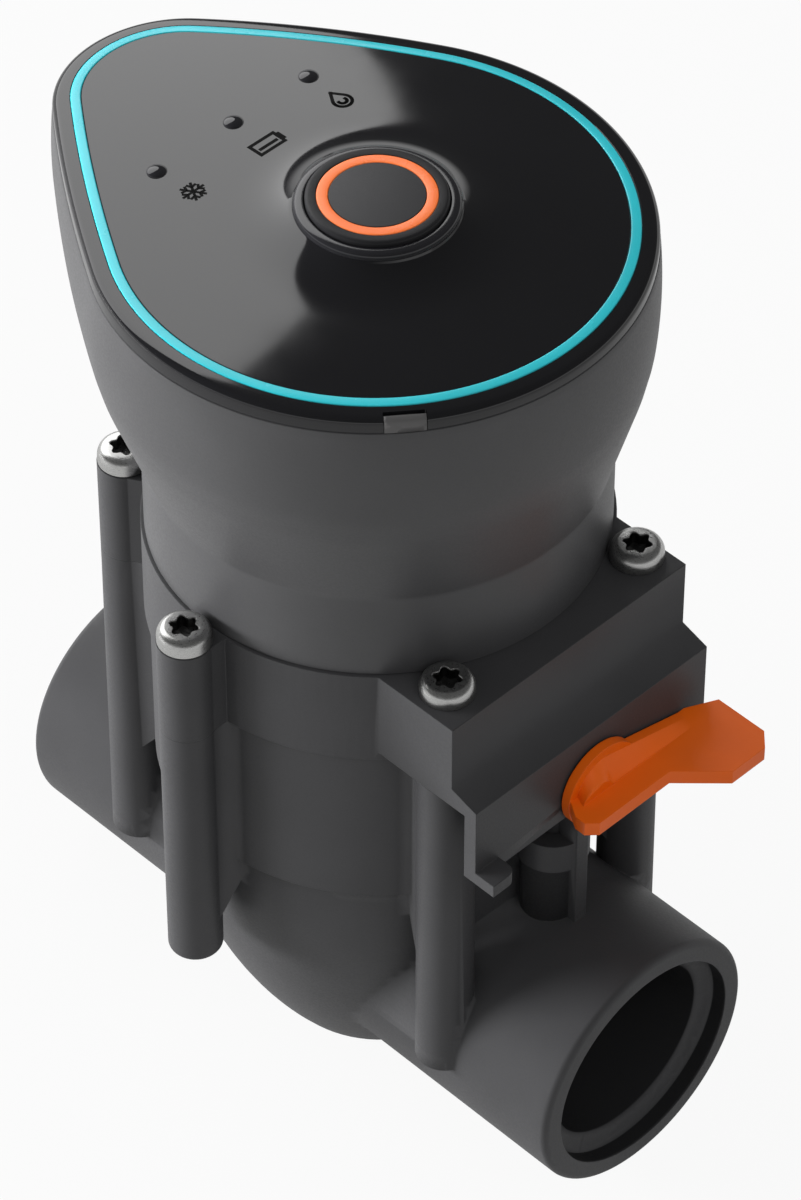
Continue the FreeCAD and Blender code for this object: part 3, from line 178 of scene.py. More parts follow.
def outline():
    """The egg plan as a list of steps round it, each an arc's centre, radius and direction."""
    s = settings()[0]
    span = s.main_x - s.tip_x
    to_main = s.flank_radius - s.main_radius
    to_tip = s.flank_radius - s.tip_radius
    along = (to_main ** 2 - to_tip ** 2 + span ** 2) / (2 * span)
    fx, fy = s.main_x - along, -math.sqrt(to_main ** 2 - along ** 2)
    a = math.atan2(-fy, s.main_x - fx)
    b = math.atan2(-fy, s.tip_x - fx)
    arcs = [(s.main_x, 0.0, s.main_radius, -a, a, ARC_STEPS["wide"]),
            (fx, fy, s.flank_radius, a, b, ARC_STEPS["flank"]),
            (s.tip_x, 0.0, s.tip_radius, b, 2 * math.pi - b, ARC_STEPS["tip"]),
            (fx, -fy, s.flank_radius, -b, -a, ARC_STEPS["flank"])]
    steps = []
    for cx, cy, radius, start, end, count in arcs:
        for i in range(count):
            steps.append((cx, cy, radius, start + (end - start) * i / count))
    return steps


def egg(step, offset, height=0.0):
    """The point of the outline's step, moved out from the outline by the offset."""
    cx, cy, radius, angle = step
    reach = radius + offset
    return Vector((cx + reach * math.cos(angle), cy + reach * math.sin(angle), height))


def on_circle(step, radius, height=0.0):
    """The point of a circle about the body's axis in the same direction as the outline's step."""
    point = egg(step, 0.0).normalized() * radius
    point.z = height
    return point


def mixed(a, b, share):
    return a + (b - a) * share


def stations(start, end, count):
    """Evenly spaced values from start to end, both included."""
    return [start + (end - start) * i / count for i in range(count + 1)]


def eased(value, width):
    """Zero below, a straight rise above, and a smooth turn of the given width between them."""
    if value <= -width:
        return 0.0
    if value >= width:
        return value
    return (value + width) ** 2 / (4 * width)


# Mesh helpers

def skin(rings, count):
    """A skin through rings of points. Each ring is a function from a step's number to a point."""
    bm = bmesh.new()
    number = bm.verts.layers.int.new("step")
    verts = bmesh.ops.create_circle(bm, cap_ends=False, segments=count, radius=1.0)["verts"]
    for index, vert in enumerate(verts):
        vert[number] = index
        vert.co = rings[0](index)
    edges = list(bm.edges)
    for ring in rings[1:]:
        made = bmesh.ops.extrude_edge_only(bm, edges=edges)["geom"]
        fresh = {item for item in made if isinstance(item, bmesh.types.BMVert)}
        edges = [item for item in made if isinstance(item, bmesh.types.BMEdge) and set(item.verts) <= fresh]
        for vert in fresh:
            vert.co = ring(vert[number])
    bmesh.ops.remove_doubles(bm, verts=bm.verts, dist=MERGE)
    bmesh.ops.recalc_face_normals(bm, faces=bm.faces)
    return bm


def rounded(corners):
    """A profile of (across, up) points in which each corner with a radius becomes short chords."""
    chords = 4
    points = []
    last = len(corners) - 1
    for index, (across, up, radius) in enumerate(corners):
        here = Vector((across, up))
        if radius == 0.0 or index in (0, last):
            points.append(here)
            continue
        before = here + (Vector(corners[index - 1][:2]) - here).normalized() * radius
        after = here + (Vector(corners[index + 1][:2]) - here).normalized() * radius
        for t in stations(0.0, 1.0, chords):
            points.append(before * (1 - t) ** 2 + here * 2 * t * (1 - t) + after * t ** 2)
    return points


def turned(profile, steps, centre=(0.0, 0.0)):
    """A profile of (radius, height) points spun about an upright axis."""
    bm = bmesh.new()
    verts = [bm.verts.new((r, 0.0, z)) for r, z in profile]
    edges = [bm.edges.new(pair) for pair in zip(verts, verts[1:])]
    bmesh.ops.spin(bm, geom=verts + edges, cent=(0, 0, 0), axis=(0, 0, 1), dvec=(0, 0, 0),
                   angle=2 * math.pi, steps=steps, use_merge=True, use_duplicate=False)
    bmesh.ops.remove_doubles(bm, verts=bm.verts, dist=MERGE)
    bmesh.ops.recalc_face_normals(bm, faces=bm.faces)
    bmesh.ops.translate(bm, verts=bm.verts, vec=(centre[0], centre[1], 0.0))
    return bm


def block(lo, hi, turn, centre):
    """A box between two corners, turned about the upright axis and then moved."""
    bm = bmesh.new()
    size = [h - l for l, h in zip(lo, hi)]
    middle = [(l + h) / 2 for l, h in zip(lo, hi)]
    place = Matrix.Translation(centre) @ Matrix.Rotation(turn, 4, "Z") @ Matrix.Translation(middle)
    bmesh.ops.create_cube(bm, size=1.0, matrix=place @ Matrix.Diagonal((*size, 1.0)))
    return bm


def merged_copy(*nodes):
    """The mesh of CAD nodes with its loose triangles joined, so that it can be shaded smoothly."""
    flat = math.radians(0.2)
    bm = bmesh.new()
    for node in nodes:
        bm.from_mesh(frame["nodes"][node].data)
    bmesh.ops.remove_doubles(bm, verts=bm.verts, dist=FRAME_MERGE)
    bmesh.ops.dissolve_limit(bm, angle_limit=flat, verts=bm.verts, edges=bm.edges,
                             use_dissolve_boundaries=False)
    return bm


def add(whole, bm):
    """Put one bmesh into another."""
    mesh = bpy.data.meshes.new("part")
    bm.to_mesh(mesh)
    bm.free()
    whole.from_mesh(mesh)
    bpy.data.meshes.remove(mesh)


def everything(bm):
    return bm.verts[:] + bm.edges[:] + bm.faces[:]


def mark_shade_and_tone(bm, shade_and_tone_at):
    """Mark each point's darkening from 0 to 1: painted shade in recesses, and the button's darker band."""
    painted_shade_and_tone = bm.verts.layers.float.new("painted_shade_and_tone")
    for vert in bm.verts:
        vert[painted_shade_and_tone] = shade_and_tone_at(vert.co)


def placed(name, bm):
    """A new object in the scene that takes over the bmesh."""
    mesh = bpy.data.meshes.new(name)
    bm.to_mesh(mesh)
    bm.free()
    obj = bpy.data.objects.new(name, mesh)
    bpy.context.scene.collection.objects.link(obj)
    return obj


def cut_from(bm, tools):
    """The bmesh with the other closed meshes taken out of it."""
    blank = placed("blank", bm)
    made = [blank]
    for index, tool in enumerate(tools):
        made.append(placed("tool", tool))
        modifier = blank.modifiers.new("Cut %d" % index, "BOOLEAN")
        modifier.operation = "DIFFERENCE"
        modifier.solver = "EXACT"
        modifier.object = made[-1]
    bpy.context.view_layer.update()
    evaluated = blank.evaluated_get(bpy.context.evaluated_depsgraph_get())
    result = bmesh.new()
    result.from_mesh(evaluated.to_mesh())
    evaluated.to_mesh_clear()
    for obj in made:
        bpy.data.objects.remove(obj)
    bmesh.ops.remove_doubles(result, verts=result.verts, dist=MERGE)
    return result


def piece(name, bm, finish, body, nodes=(), sharp=35.0):
    """A finished object from a bmesh, riding on its body and standing for its CAD nodes.

    An edge at which the surface turns by more than sharp degrees is shaded as an edge.
    """
    obj = placed(name, bm)
    obj.data.shade_smooth()
    obj.data.set_sharp_from_angle(angle=math.radians(sharp))
    obj.data.materials.append(FINISH[finish])
    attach(obj, body)
    if nodes:
        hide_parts(*nodes)


# Finishes

# Noise keeps mostly between these two values
NOISE_LOW, NOISE_HIGH = 0.3, 0.7

# Colours of the finishes that the closed valve hides, as linear values
INNER_STEEL = (0.5, 0.5, 0.5)
BRASS = (0.72, 0.50, 0.20)
RUBBER = (0.015, 0.015, 0.015)
INNER_PLASTIC = (0.30, 0.30, 0.29)
COPPER = (0.62, 0.26, 0.12)
BOARD_GREEN = (0.015, 0.12, 0.045)
BATTERY_SKIN = (0.035, 0.035, 0.04)

FINISH = {}


def shader(name, base, roughness, metallic=0.0):
    """A new material with its Principled shader's plain values set."""
    mat = bpy.data.materials.new(name)
    mat.use_nodes = True
    nodes = mat.node_tree.nodes
    bsdf = nodes["Principled BSDF"]
    bsdf.inputs["Base Color"].default_value = (*base, 1.0)
    bsdf.inputs["Roughness"].default_value = roughness
    bsdf.inputs["Metallic"].default_value = metallic
    bsdf.inputs["IOR"].default_value = 1.5
    return mat, nodes, mat.node_tree.links, bsdf


def calculated(nodes, links, operation, *values):
    """The result of a Math node. Each value is a socket or a number."""
    node = nodes.new("ShaderNodeMath")
    node.operation = operation
    for socket, value in zip(node.inputs, values):
        if isinstance(value, bpy.types.NodeSocket):
            links.new(value, socket)
        else:
            socket.default_value = value
    return node.outputs[0]


def noise(nodes, links, size, detail=3.0, stretch=(1.0, 1.0, 1.0)):
    """Noise whose features are about the given size, in the piece's own coordinates."""
    where = nodes.new("ShaderNodeTexCoord")
    mapping = nodes.new("ShaderNodeMapping")
    mapping.inputs["Scale"].default_value = stretch
    texture = nodes.new("ShaderNodeTexNoise")
    texture.inputs["Scale"].default_value = 1.0 / size
    texture.inputs["Detail"].default_value = detail
    links.new(where.outputs["Object"], mapping.inputs["Vector"])
    links.new(mapping.outputs["Vector"], texture.inputs["Vector"])
    return texture.outputs["Fac"]


def vary(nodes, links, source, socket, start, end):
    """Feed a socket from noise, between two values."""
    spread = nodes.new("ShaderNodeMapRange")
    spread.inputs["From Min"].default_value = NOISE_LOW
    spread.inputs["From Max"].default_value = NOISE_HIGH
    spread.inputs["To Min"].default_value = start
    spread.inputs["To Max"].default_value = end
    links.new(source, spread.inputs["Value"])
    links.new(spread.outputs["Result"], socket)


def tint(nodes, links, source, bsdf, base, share):
    """Shift the base colour a little lighter and darker with the noise."""
    ramp = nodes.new("ShaderNodeValToRGB")
    stops = ((NOISE_LOW, 1 - share), (NOISE_HIGH, 1 + share))
    for element, (position, scale) in zip(ramp.color_ramp.elements, stops):
        element.position = position
        element.color = (*[c * scale for c in base], 1.0)
    links.new(source, ramp.inputs["Fac"])
    links.new(ramp.outputs["Color"], bsdf.inputs["Base Color"])


def relief(nodes, links, source, bsdf, depth, soften=0.0):
    """Bump from noise, with soft edges where soften gives them a radius."""
    bump = nodes.new("ShaderNodeBump")
    bump.inputs["Strength"].default_value = 1.0
    bump.inputs["Distance"].default_value = depth
    links.new(source, bump.inputs["Height"])
    links.new(bump.outputs["Normal"], bsdf.inputs["Normal"])
    if soften:
        edge = nodes.new("ShaderNodeBevel")
        edge.samples = 6
        edge.inputs["Radius"].default_value = soften
        links.new(edge.outputs["Normal"], bump.inputs["Normal"])


def darken(nodes, links, bsdf, share):
    """Bring the base colour and gloss down to the share where marked: painted shade, and the button's darker
    band.
    """
    colour_in, gloss_in = bsdf.inputs["Base Color"], bsdf.inputs["Specular IOR Level"]
    # The marked share carries painted shade in recesses and the button's darker band
    mark = nodes.new("ShaderNodeAttribute")
    mark.attribute_name = "painted_shade_and_tone"
    fade = calculated(nodes, links, "MULTIPLY_ADD", mark.outputs["Fac"], share - 1.0, 1.0)
    scale = nodes.new("ShaderNodeVectorMath")
    scale.operation = "SCALE"
    links.new(colour_in.links[0].from_socket, scale.inputs[0])
    links.new(fade, scale.inputs["Scale"])
    links.new(scale.outputs[0], colour_in)
    links.new(calculated(nodes, links, "MULTIPLY", fade, gloss_in.default_value), gloss_in)


def moulded(name, base, roughness=0.5, grain=0.35 * MM, depth=0.012 * MM, soften=0.0, painted_shade_and_tone=None, sheen=0.5):
    """Matt moulded plastic with a fine grain.

    Soften rounds its edges by shading alone. The darkening share is what is left of its colour and gloss
    where marked: painted shade in recesses, and a darker band on the button. Sheen is its specular level.
    """
    patch, shade, swing = 14 * MM, 0.06, 0.05
    mat, nodes, links, bsdf = shader(name, base, roughness)
    bsdf.inputs["Specular IOR Level"].default_value = sheen
    tint(nodes, links, noise(nodes, links, patch), bsdf, base, shade)
    if painted_shade_and_tone is not None:
        darken(nodes, links, bsdf, painted_shade_and_tone)
    fine = noise(nodes, links, grain, detail=2.0)
    vary(nodes, links, fine, bsdf.inputs["Roughness"], roughness - swing, roughness + swing)
    relief(nodes, links, fine, bsdf, depth, soften)
    return mat


def polished(name, base, roughness=0.07):
    """High gloss plastic with the faint waviness of a moulded sheet."""
    patch, shade = 20 * MM, 0.05
    smudge, least, most = 6 * MM, 0.85, 1.15
    wave, wave_depth = 9 * MM, 0.002 * MM
    mat, nodes, links, bsdf = shader(name, base, roughness)
    smudges = noise(nodes, links, smudge)
    tint(nodes, links, noise(nodes, links, patch), bsdf, base, shade)
    vary(nodes, links, smudges, bsdf.inputs["Roughness"], roughness * least, roughness * most)
    relief(nodes, links, noise(nodes, links, wave, detail=1.0), bsdf, wave_depth)
    return mat


def metal(name, base, roughness, stretch=(1.0, 1.0, 12.0), painted_shade_and_tone=None):
    """Metal with fine drawn marks.

    The darkening share is what is left of its colour where the mesh is marked: painted shade in recesses.
    """
    mark_size, mark_depth, shade = 0.5 * MM, 0.004 * MM, 0.08
    least, most = 0.8, 1.3
    mat, nodes, links, bsdf = shader(name, base, roughness, metallic=1.0)
    marks = noise(nodes, links, mark_size, detail=4.0, stretch=stretch)
    tint(nodes, links, marks, bsdf, base, shade)
    if painted_shade_and_tone is not None:
        darken(nodes, links, bsdf, painted_shade_and_tone)
    vary(nodes, links, marks, bsdf.inputs["Roughness"], roughness * least, roughness * most)
    relief(nodes, links, marks, bsdf, mark_depth)
    return mat


def make_finishes():
    c = settings()[1]
    # The ports' thread and recess are darkened by painted shade
    FINISH["body_black"] = moulded("body_plastic", c.body, soften=0.25 * MM, painted_shade_and_tone=0.25, sheen=0.35)
    FINISH["cover_black"] = moulded("cover_plastic", c.body, soften=0.25 * MM, sheen=0.35)
    FINISH["head_black"] = moulded("housing_plastic", c.head, roughness=0.45)
    FINISH["lid_gloss"] = polished("lid_gloss", c.gloss)
    FINISH["turquoise"] = polished("ring_turquoise", c.ring, roughness=0.25)
    # The button is darker and duller outside its orange ring
    FINISH["button_grey"] = moulded("button_satin", c.button, roughness=0.42, depth=0.004 * MM, painted_shade_and_tone=0.6,
                                    sheen=0.32)
    FINISH["orange"] = moulded("lever_orange", c.lever, roughness=0.38, depth=0.006 * MM, soften=0.2 * MM,
                               sheen=0.3)
    FINISH["signal"] = polished("button_ring_orange", c.signal, roughness=0.3)
    # The screws' drive recesses are darkened by painted shade
    FINISH["screw_steel"] = metal("screw_steel", c.steel, roughness=0.3, painted_shade_and_tone=0.3)
    FINISH["collar"] = polished("collar_gloss", c.collar, roughness=0.14)
    FINISH["inner_steel"] = metal("inner_steel", INNER_STEEL, roughness=0.35)
    FINISH["brass"] = metal("turned_brass", BRASS, roughness=0.3)
    FINISH["seal_rubber"] = moulded("seal_rubber", RUBBER, roughness=0.6, grain=0.8 * MM)
    FINISH["inner_plastic"] = moulded("inner_plastic", INNER_PLASTIC, roughness=0.5)
    FINISH["copper"] = metal("copper_winding", COPPER, roughness=0.35, stretch=(1.0, 1.0, 40.0))
    FINISH["lens"] = polished("smoked_lens", c.lens, roughness=0.05)
    FINISH["board_green"] = moulded("board_green", BOARD_GREEN, roughness=0.4, grain=1.2 * MM)
    FINISH["battery_skin"] = moulded("battery_sleeve", BATTERY_SKIN, roughness=0.35)
    FINISH["tab_grey"] = moulded("tab_grey", c.tab, roughness=0.4)
    FINISH["print"] = moulded("symbol_print", c.ink, roughness=0.7, grain=0.2 * MM, sheen=0.1)


# Pieces of the control head

CREASE_TURN = 0.5 * MM


def head_offset(height, s):
    """How far the head stands out from the ring's line at a height above the neck's foot.

    It is the parabola through the offsets at the belly, at the widest line and at the rim.
    """
    rise = RIM - NECK_FOOT
    belly_to_bulge = 12.0 * MM
    bulge = s.belly + belly_to_bulge
    a = (height - bulge) * (height - rise) / ((s.belly - bulge) * (s.belly - rise))
    b = (height - s.belly) * (height - rise) / ((bulge - s.belly) * (bulge - rise))
    c = (height - s.belly) * (height - bulge) / ((rise - s.belly) * (rise - bulge))
    return a * s.belly_offset + b * s.bulge_offset + c * s.rim_offset


def head_point(step, inset, height, s):
    """A point of the head's wall, moved in by inset, at a height above the neck's foot."""
    shoulder_turn = 3.0 * MM
    round_part = on_circle(step, s.neck_radius - inset)
    travel = s.belly - s.crease
    share = (eased(height - s.crease, CREASE_TURN) - eased(height - s.belly, shoulder_turn)) / travel
    full = egg(step, head_offset(max(height, s.belly), s) - inset)
    point = mixed(round_part, full, min(share, 1.0))
    point.z = NECK_FOOT + height
    return point


class VALVE_OT_head_shell(bpy.types.Operator):
    """Moulded housing of the control head, from its round neck to its egg-shaped rim"""
    bl_idname = "valve.head_shell"
    bl_label = "Head housing"

    def execute(self, context):
        s = settings()[0]
        steps = outline()
        rise = RIM - NECK_FOOT
        ledge = low("battery_tray") - NECK_FOOT
        floor, rebate_depth = 3.0 * MM, 1.8 * MM
        inner, opening, rebate = 31.0 * MM, 24.0 * MM, 26.0 * MM
        groove_out, groove_in, groove_depth = 2.7 * MM, 1.8 * MM, 0.8 * MM
        edge = 0.2 * MM
        soft = 0.3 * edge

        def wall(inset, height):
            return lambda i: head_point(steps[i], inset, height, s)

        def ring(radius, height):
            return lambda i: on_circle(steps[i], radius, NECK_FOOT + height)

        def rim_line(offset, height):
            return lambda i: egg(steps[i], offset, NECK_FOOT + height)

        rings = [ring(s.neck_radius - edge, 0.0), ring(s.neck_radius, edge)]
        heights = stations(edge, rise - edge, 44)[1:]
        heights += stations(s.crease - CREASE_TURN, s.crease + CREASE_TURN, 4)
        rings += [wall(0.0, h) for h in sorted(heights)]
        rings += [wall(soft, rise - soft), wall(edge, rise)]
        rings += [rim_line(groove_out, rise), rim_line(groove_out, rise - groove_depth),
                  rim_line(groove_in, rise - groove_depth), rim_line(groove_in, rise)]
        rings += [wall(s.wall, h) for h in reversed(stations(ledge, rise, 24))]
        rings += [ring(inner, ledge), ring(inner, floor), ring(opening, floor), ring(opening, rebate_depth),
                  ring(rebate, rebate_depth), ring(rebate, 0.0), rings[0]]
        piece("head_shell", skin(rings, len(steps)), "head_black", "valve", ("head_housing",))
        return {"FINISHED"}


def crown(point, s):
    """Height of the lid's crowned top at a place."""
    reach = (point.x - s.crown_x) ** 2 + point.y ** 2
    return RIM + s.crown_height - s.crown_radius + math.sqrt(s.crown_radius ** 2 - reach)


def lid_top(point, s):
    """Height of the lid with its swelling round the button."""
    steepness = 3.2
    radius = math.hypot(point.x, point.y)
    share = max(0.0, (s.swell_radius - radius) / (s.swell_radius - BEZEL_REACH - SEAT_GAP))
    peak = BEZEL_TOP - s.collar_stand
    return crown(point, s) + (peak - RIM - s.crown_height) * min(share, 1.0) ** steepness


class VALVE_OT_lid(bpy.types.Operator):
    """High gloss lid, crowned and swelling up round the push button"""
    bl_idname = "valve.lid"
    bl_label = "Lid"

    def execute(self, context):
        s = settings()[0]
        steps = outline()
        edge, fillet = 0.2 * MM, 1.1 * MM
        roof = RIM + 0.5 * MM
        groove, groove_depth, groove_soft = s.ring_half + SEAT_GAP, 0.8 * MM, 0.08 * MM
        groove_side, first_share = 0.6 * MM, 0.04
        seat, seat_soft = BEZEL_REACH + SEAT_GAP, 0.15 * MM
        bore = s.cap_radius + BUTTON_GAP
        flange_room = BUTTON_FLANGE + BUTTON_GAP
        shelf = BUTTON_FOOT + 1.85 * MM
        tongue_out, tongue_in, tongue_foot = 0.85 * MM, -0.75 * MM, RIM - 2.5 * MM

        def on_top(point, drop=0.0):
            point.z = lid_top(point, s) - drop
            return point

        def line(offset, drop=0.0):
            return lambda i: on_top(egg(steps[i], offset), drop)

        def flat(offset, height):
            return lambda i: egg(steps[i], offset, height)

        def ring(radius, height):
            return lambda i: on_circle(steps[i], radius, height)

        def between(share):
            def place(i):
                return on_top(mixed(egg(steps[i], -groove), on_circle(steps[i], s.swell_radius), share))
            return place

        def swell(radius):
            return lambda i: on_top(on_circle(steps[i], radius))

        rings = [flat(s.lid_offset - edge, RIM), flat(s.lid_offset, RIM + edge)]
        for turn in stations(0.0, math.pi / 2, 8):
            inward = fillet * (1 - math.cos(turn))
            drop = fillet * (1 - math.sin(turn))
            rings.append(line(s.lid_offset - inward, drop))
        rings += [line(groove + groove_side), line(groove + groove_soft), line(groove, groove_soft),
                  line(groove, groove_depth), line(-groove, groove_depth), line(-groove, groove_soft),
                  line(-groove - groove_soft)]
        rings += [between(share) for share in stations(first_share, 1.0, 16)]
        rings += [swell(r) for r in stations(s.swell_radius, seat + seat_soft, 22)[1:]]
        rings += [ring(seat, BEZEL_TOP - s.collar_stand - seat_soft), ring(seat, BEZEL_FOOT),
                  ring(bore, BEZEL_FOOT), ring(bore, shelf), ring(flange_room, shelf),
                  ring(flange_room, roof)]
        rings += [flat(tongue_in, roof), flat(tongue_in, tongue_foot), flat(tongue_out, tongue_foot),
                  flat(tongue_out, RIM), rings[0]]
        bm = cut_from(skin(rings, len(steps)), self.edge_cuts(s))
        piece("lid_shell", bm, "lid_gloss", "lid", ("lid",), sharp=28.0)
        return {"FINISHED"}

    def edge_cuts(self, s):
        """The release tab's notch, and a long low slot under the lid's edge on each of the tip's flanks."""
        depth, past = 1.6 * MM, 1.0 * MM

        def cut(radius, centre, half, foot, top, turn):
            outer = radius + s.lid_offset
            return block((outer - depth, -half, RIM + foot), (outer + past, half, RIM + top),
                         math.radians(turn), (centre, 0.0, 0.0))

        notch = cut(s.main_radius, s.main_x, half=3.0 * MM, foot=-1.0 * MM, top=6.0 * MM, turn=-38.0)
        slots = [cut(s.tip_radius, s.tip_x, half=6.0 * MM, foot=-0.5 * MM, top=0.7 * MM, turn=side * 128.0)
                 for side in (-1, 1)]
        return [notch] + slots


class VALVE_OT_ring_inlay(bpy.types.Operator):
    """Coloured ring let into the lid"""
    bl_idname = "valve.ring_inlay"
    bl_label = "Ring inlay"

    def execute(self, context):
        s = settings()[0]
        steps = outline()
        half = s.ring_half
        proud, sunk, soft = 0.06 * MM, 0.75 * MM, 0.18 * MM
        profile = rounded([(-half, -sunk, 0), (-half, proud, soft), (half, proud, soft), (half, -sunk, 0),
                           (-half, -sunk, 0)])

        def line(offset, rise):
            def place(i):
                point = egg(steps[i], offset)
                point.z = crown(point, s) + rise
                return point
            return place

        rings = [line(offset, rise) for offset, rise in profile]
        piece("ring_band", skin(rings, len(steps)), "turquoise", "lid", ("ring_inlay",))
        return {"FINISHED"}


class VALVE_OT_button(bpy.types.Operator):
    """Push button with its orange ring, and the collar round it"""
    bl_idname = "valve.button"
    bl_label = "Push button"

    steps = 128
    ring_depth = 0.7 * MM

    def execute(self, context):
        self.collar()
        self.cap()
        self.ring()
        return {"FINISHED"}

    def collar(self):
        inner, outer = settings()[0].cap_radius + BUTTON_GAP, BEZEL_REACH
        inner_soft, outer_soft = 0.15 * MM, 0.9 * MM
        profile = rounded([(inner, BEZEL_FOOT, 0), (inner, BEZEL_TOP, inner_soft),
                           (outer, BEZEL_TOP, outer_soft), (outer, BEZEL_FOOT, 0), (inner, BEZEL_FOOT, 0)])
        bm = turned(profile, self.steps)
        piece("button_collar", bm, "collar", "lid", ("button_bezel",))

    def cap(self):
        groove_in, groove_out, groove_soft = 6.85 * MM, 8.65 * MM, 0.08 * MM
        floor = BUTTON_TOP - self.ring_depth
        radius, radius_soft = settings()[0].cap_radius, 0.55 * MM
        flange, flange_top, flange_soft = BUTTON_FLANGE, BUTTON_FOOT + 1.7 * MM, 0.1 * MM
        hollow, roof, stem = 8.9 * MM, BUTTON_TOP - 2.3 * MM, 2.0 * MM
        skirt_foot = BUTTON_FOOT + 0.5 * MM
        near = 0.05 * MM
        profile = rounded([(0, BUTTON_TOP, 0), (groove_in, BUTTON_TOP, groove_soft), (groove_in, floor, 0),
                           (groove_out, floor, 0), (groove_out, BUTTON_TOP, groove_soft),
                           (radius, BUTTON_TOP, radius_soft), (radius, flange_top, 0),
                           (flange, flange_top, flange_soft), (flange, skirt_foot, 0),
                           (hollow, skirt_foot, 0), (hollow, roof, 0), (stem, roof, 0),
                           (stem, BUTTON_FOOT, 0), (0, BUTTON_FOOT, 0)])
        bm = turned(profile, self.steps)
        # Outside the orange ring the button, its sides and its flange are darker and duller
        mark_shade_and_tone(bm, lambda point: 1.0 if math.hypot(point.x, point.y) > groove_out - near else 0.0)
        piece("button_top", bm, "button_grey", "button", ("button_cap",))

    def ring(self):
        inner, outer, soft = 6.9 * MM, 8.6 * MM, 0.2 * MM
        foot, top = BUTTON_TOP - self.ring_depth, BUTTON_TOP
        profile = rounded([(inner, foot, 0), (inner, top, soft), (outer, top, soft), (outer, foot, 0),
                           (inner, foot, 0)])
        piece("button_band", turned(profile, self.steps), "signal", "button", ("button_ring",))


class VALVE_OT_lights(bpy.types.Operator):
    """Three domed lenses of the status lights"""
    bl_idname = "valve.lights"
    bl_label = "Status lights"

    def execute(self, context):
        s = settings()[0]
        radius, dome, foot = 1.5 * MM, 0.55 * MM, low("led_lenses")
        flange, roof = 2.3 * MM, RIM + 0.5 * MM
        flange_foot = roof - 1.3 * MM
        whole = bmesh.new()
        for row in (-1, 0, 1):
            where = Vector((s.light_x, row * s.light_pitch, 0.0))
            skin_z = crown(where, s)
            curve = [(radius * math.cos(a), skin_z + dome * math.sin(a))
                     for a in stations(math.pi / 2, 0.0, 8)]
            profile = curve + [(radius, roof), (flange, roof), (flange, flange_foot), (radius, flange_foot),
                               (radius, foot), (0.0, foot)]
            add(whole, turned(profile, 40, (where.x, where.y)))
        piece("light_domes", whole, "lens", "lid", ("led_lenses",))
        return {"FINISHED"}


class VALVE_OT_symbols(bpy.types.Operator):
    """Printed symbols beside the status lights: snow crystal, battery and water drop"""
    bl_idname = "valve.symbols"
    bl_label = "Symbols"

    def execute(self, context):
        s = settings()[0]
        whole = bmesh.new()
        for group_y, bars, stroke in ((-s.symbol_pitch, self.frost(), 0.42 * MM),
                                      (0.0, self.battery(), 0.56 * MM),
                                      (s.symbol_pitch, self.drop(), 0.52 * MM)):
            for ax, ay, bx, by in bars:
                self.bar(whole, s, Vector((ax, ay)), Vector((bx, by)), stroke, group_y)
        piece("symbols", whole, "print", "lid")
        return {"FINISHED"}

    def bar(self, bm, s, a, b, stroke, group_y):
        """One stroke as a thin printed bar that follows the crown."""
        ink_height = 0.02 * MM
        along = b - a
        middle = (a + b) / 2
        turn = Matrix.Rotation(math.atan2(along.y, along.x), 4, "Z")
        place = Matrix.Translation((s.symbol_x + middle.x, group_y + middle.y, 0.0)) @ turn
        size = Matrix.Diagonal((along.length + stroke, stroke, 1.0, 1.0))
        made = bmesh.ops.create_grid(bm, x_segments=4, y_segments=1, size=0.5, matrix=place @ size)
        for vert in made["verts"]:
            vert.co.z = lid_top(vert.co, s) + ink_height

    def frost(self):
        reach, branch, fork_share, lean = 1.8 * MM, 0.7 * MM, 0.55, 0.9

        def ray(angle, size):
            return Vector((math.cos(angle), math.sin(angle))) * size

        arms = [math.radians(60 * turn + 90) for turn in range(6)]
        bars = [(*ray(a, -reach), *ray(a, reach)) for a in arms[:3]]
        for a in arms:
            fork = ray(a, reach * fork_share)
            bars += [(*fork, *(fork + ray(a + side * lean, branch))) for side in (-1, 1)]
        return bars

    def battery(self):
        half_x, half_y, tip = 1.25 * MM, 2.3 * MM, 0.4 * MM
        level_x, level_y = 0.25 * MM, half_y - 0.8 * MM
        corners = [(-half_x, -half_y), (half_x, -half_y), (half_x, half_y), (-half_x, half_y)]
        bars = [(*p, *q) for p, q in zip(corners, corners[1:] + corners[:1])]
        bars.append((-half_x / 2, half_y + tip, half_x / 2, half_y + tip))
        bars.append((level_x, -level_y, level_x, level_y))
        return bars

    def drop(self):
        radius, middle, tip = 1.4 * MM, 0.5 * MM, -2.0 * MM
        shine_radius, shine_reach = radius * 0.45, math.radians(100.0)
        end = math.pi - math.acos(radius / (middle - tip))

        def arc(size, reach):
            return [(middle + size * math.cos(a), size * math.sin(a)) for a in stations(-reach, reach, 16)]

        points = [(tip, 0.0)] + arc(radius, end)
        shine = arc(shine_radius, shine_reach)
        bars = [(*p, *q) for p, q in zip(points, points[1:] + points[:1])]
        return bars + [(*p, *q) for p, q in zip(shine, shine[1:])]


class VALVE_OT_latch(bpy.types.Operator):
    """Grey release tab in the lid's edge"""
    bl_idname = "valve.latch"
    bl_label = "Release tab"

    def execute(self, context):
        piece("release_tab", merged_copy("latch_tab"), "tab_grey", "latch", ("latch_tab",))
        return {"FINISHED"}


# Pieces of the body

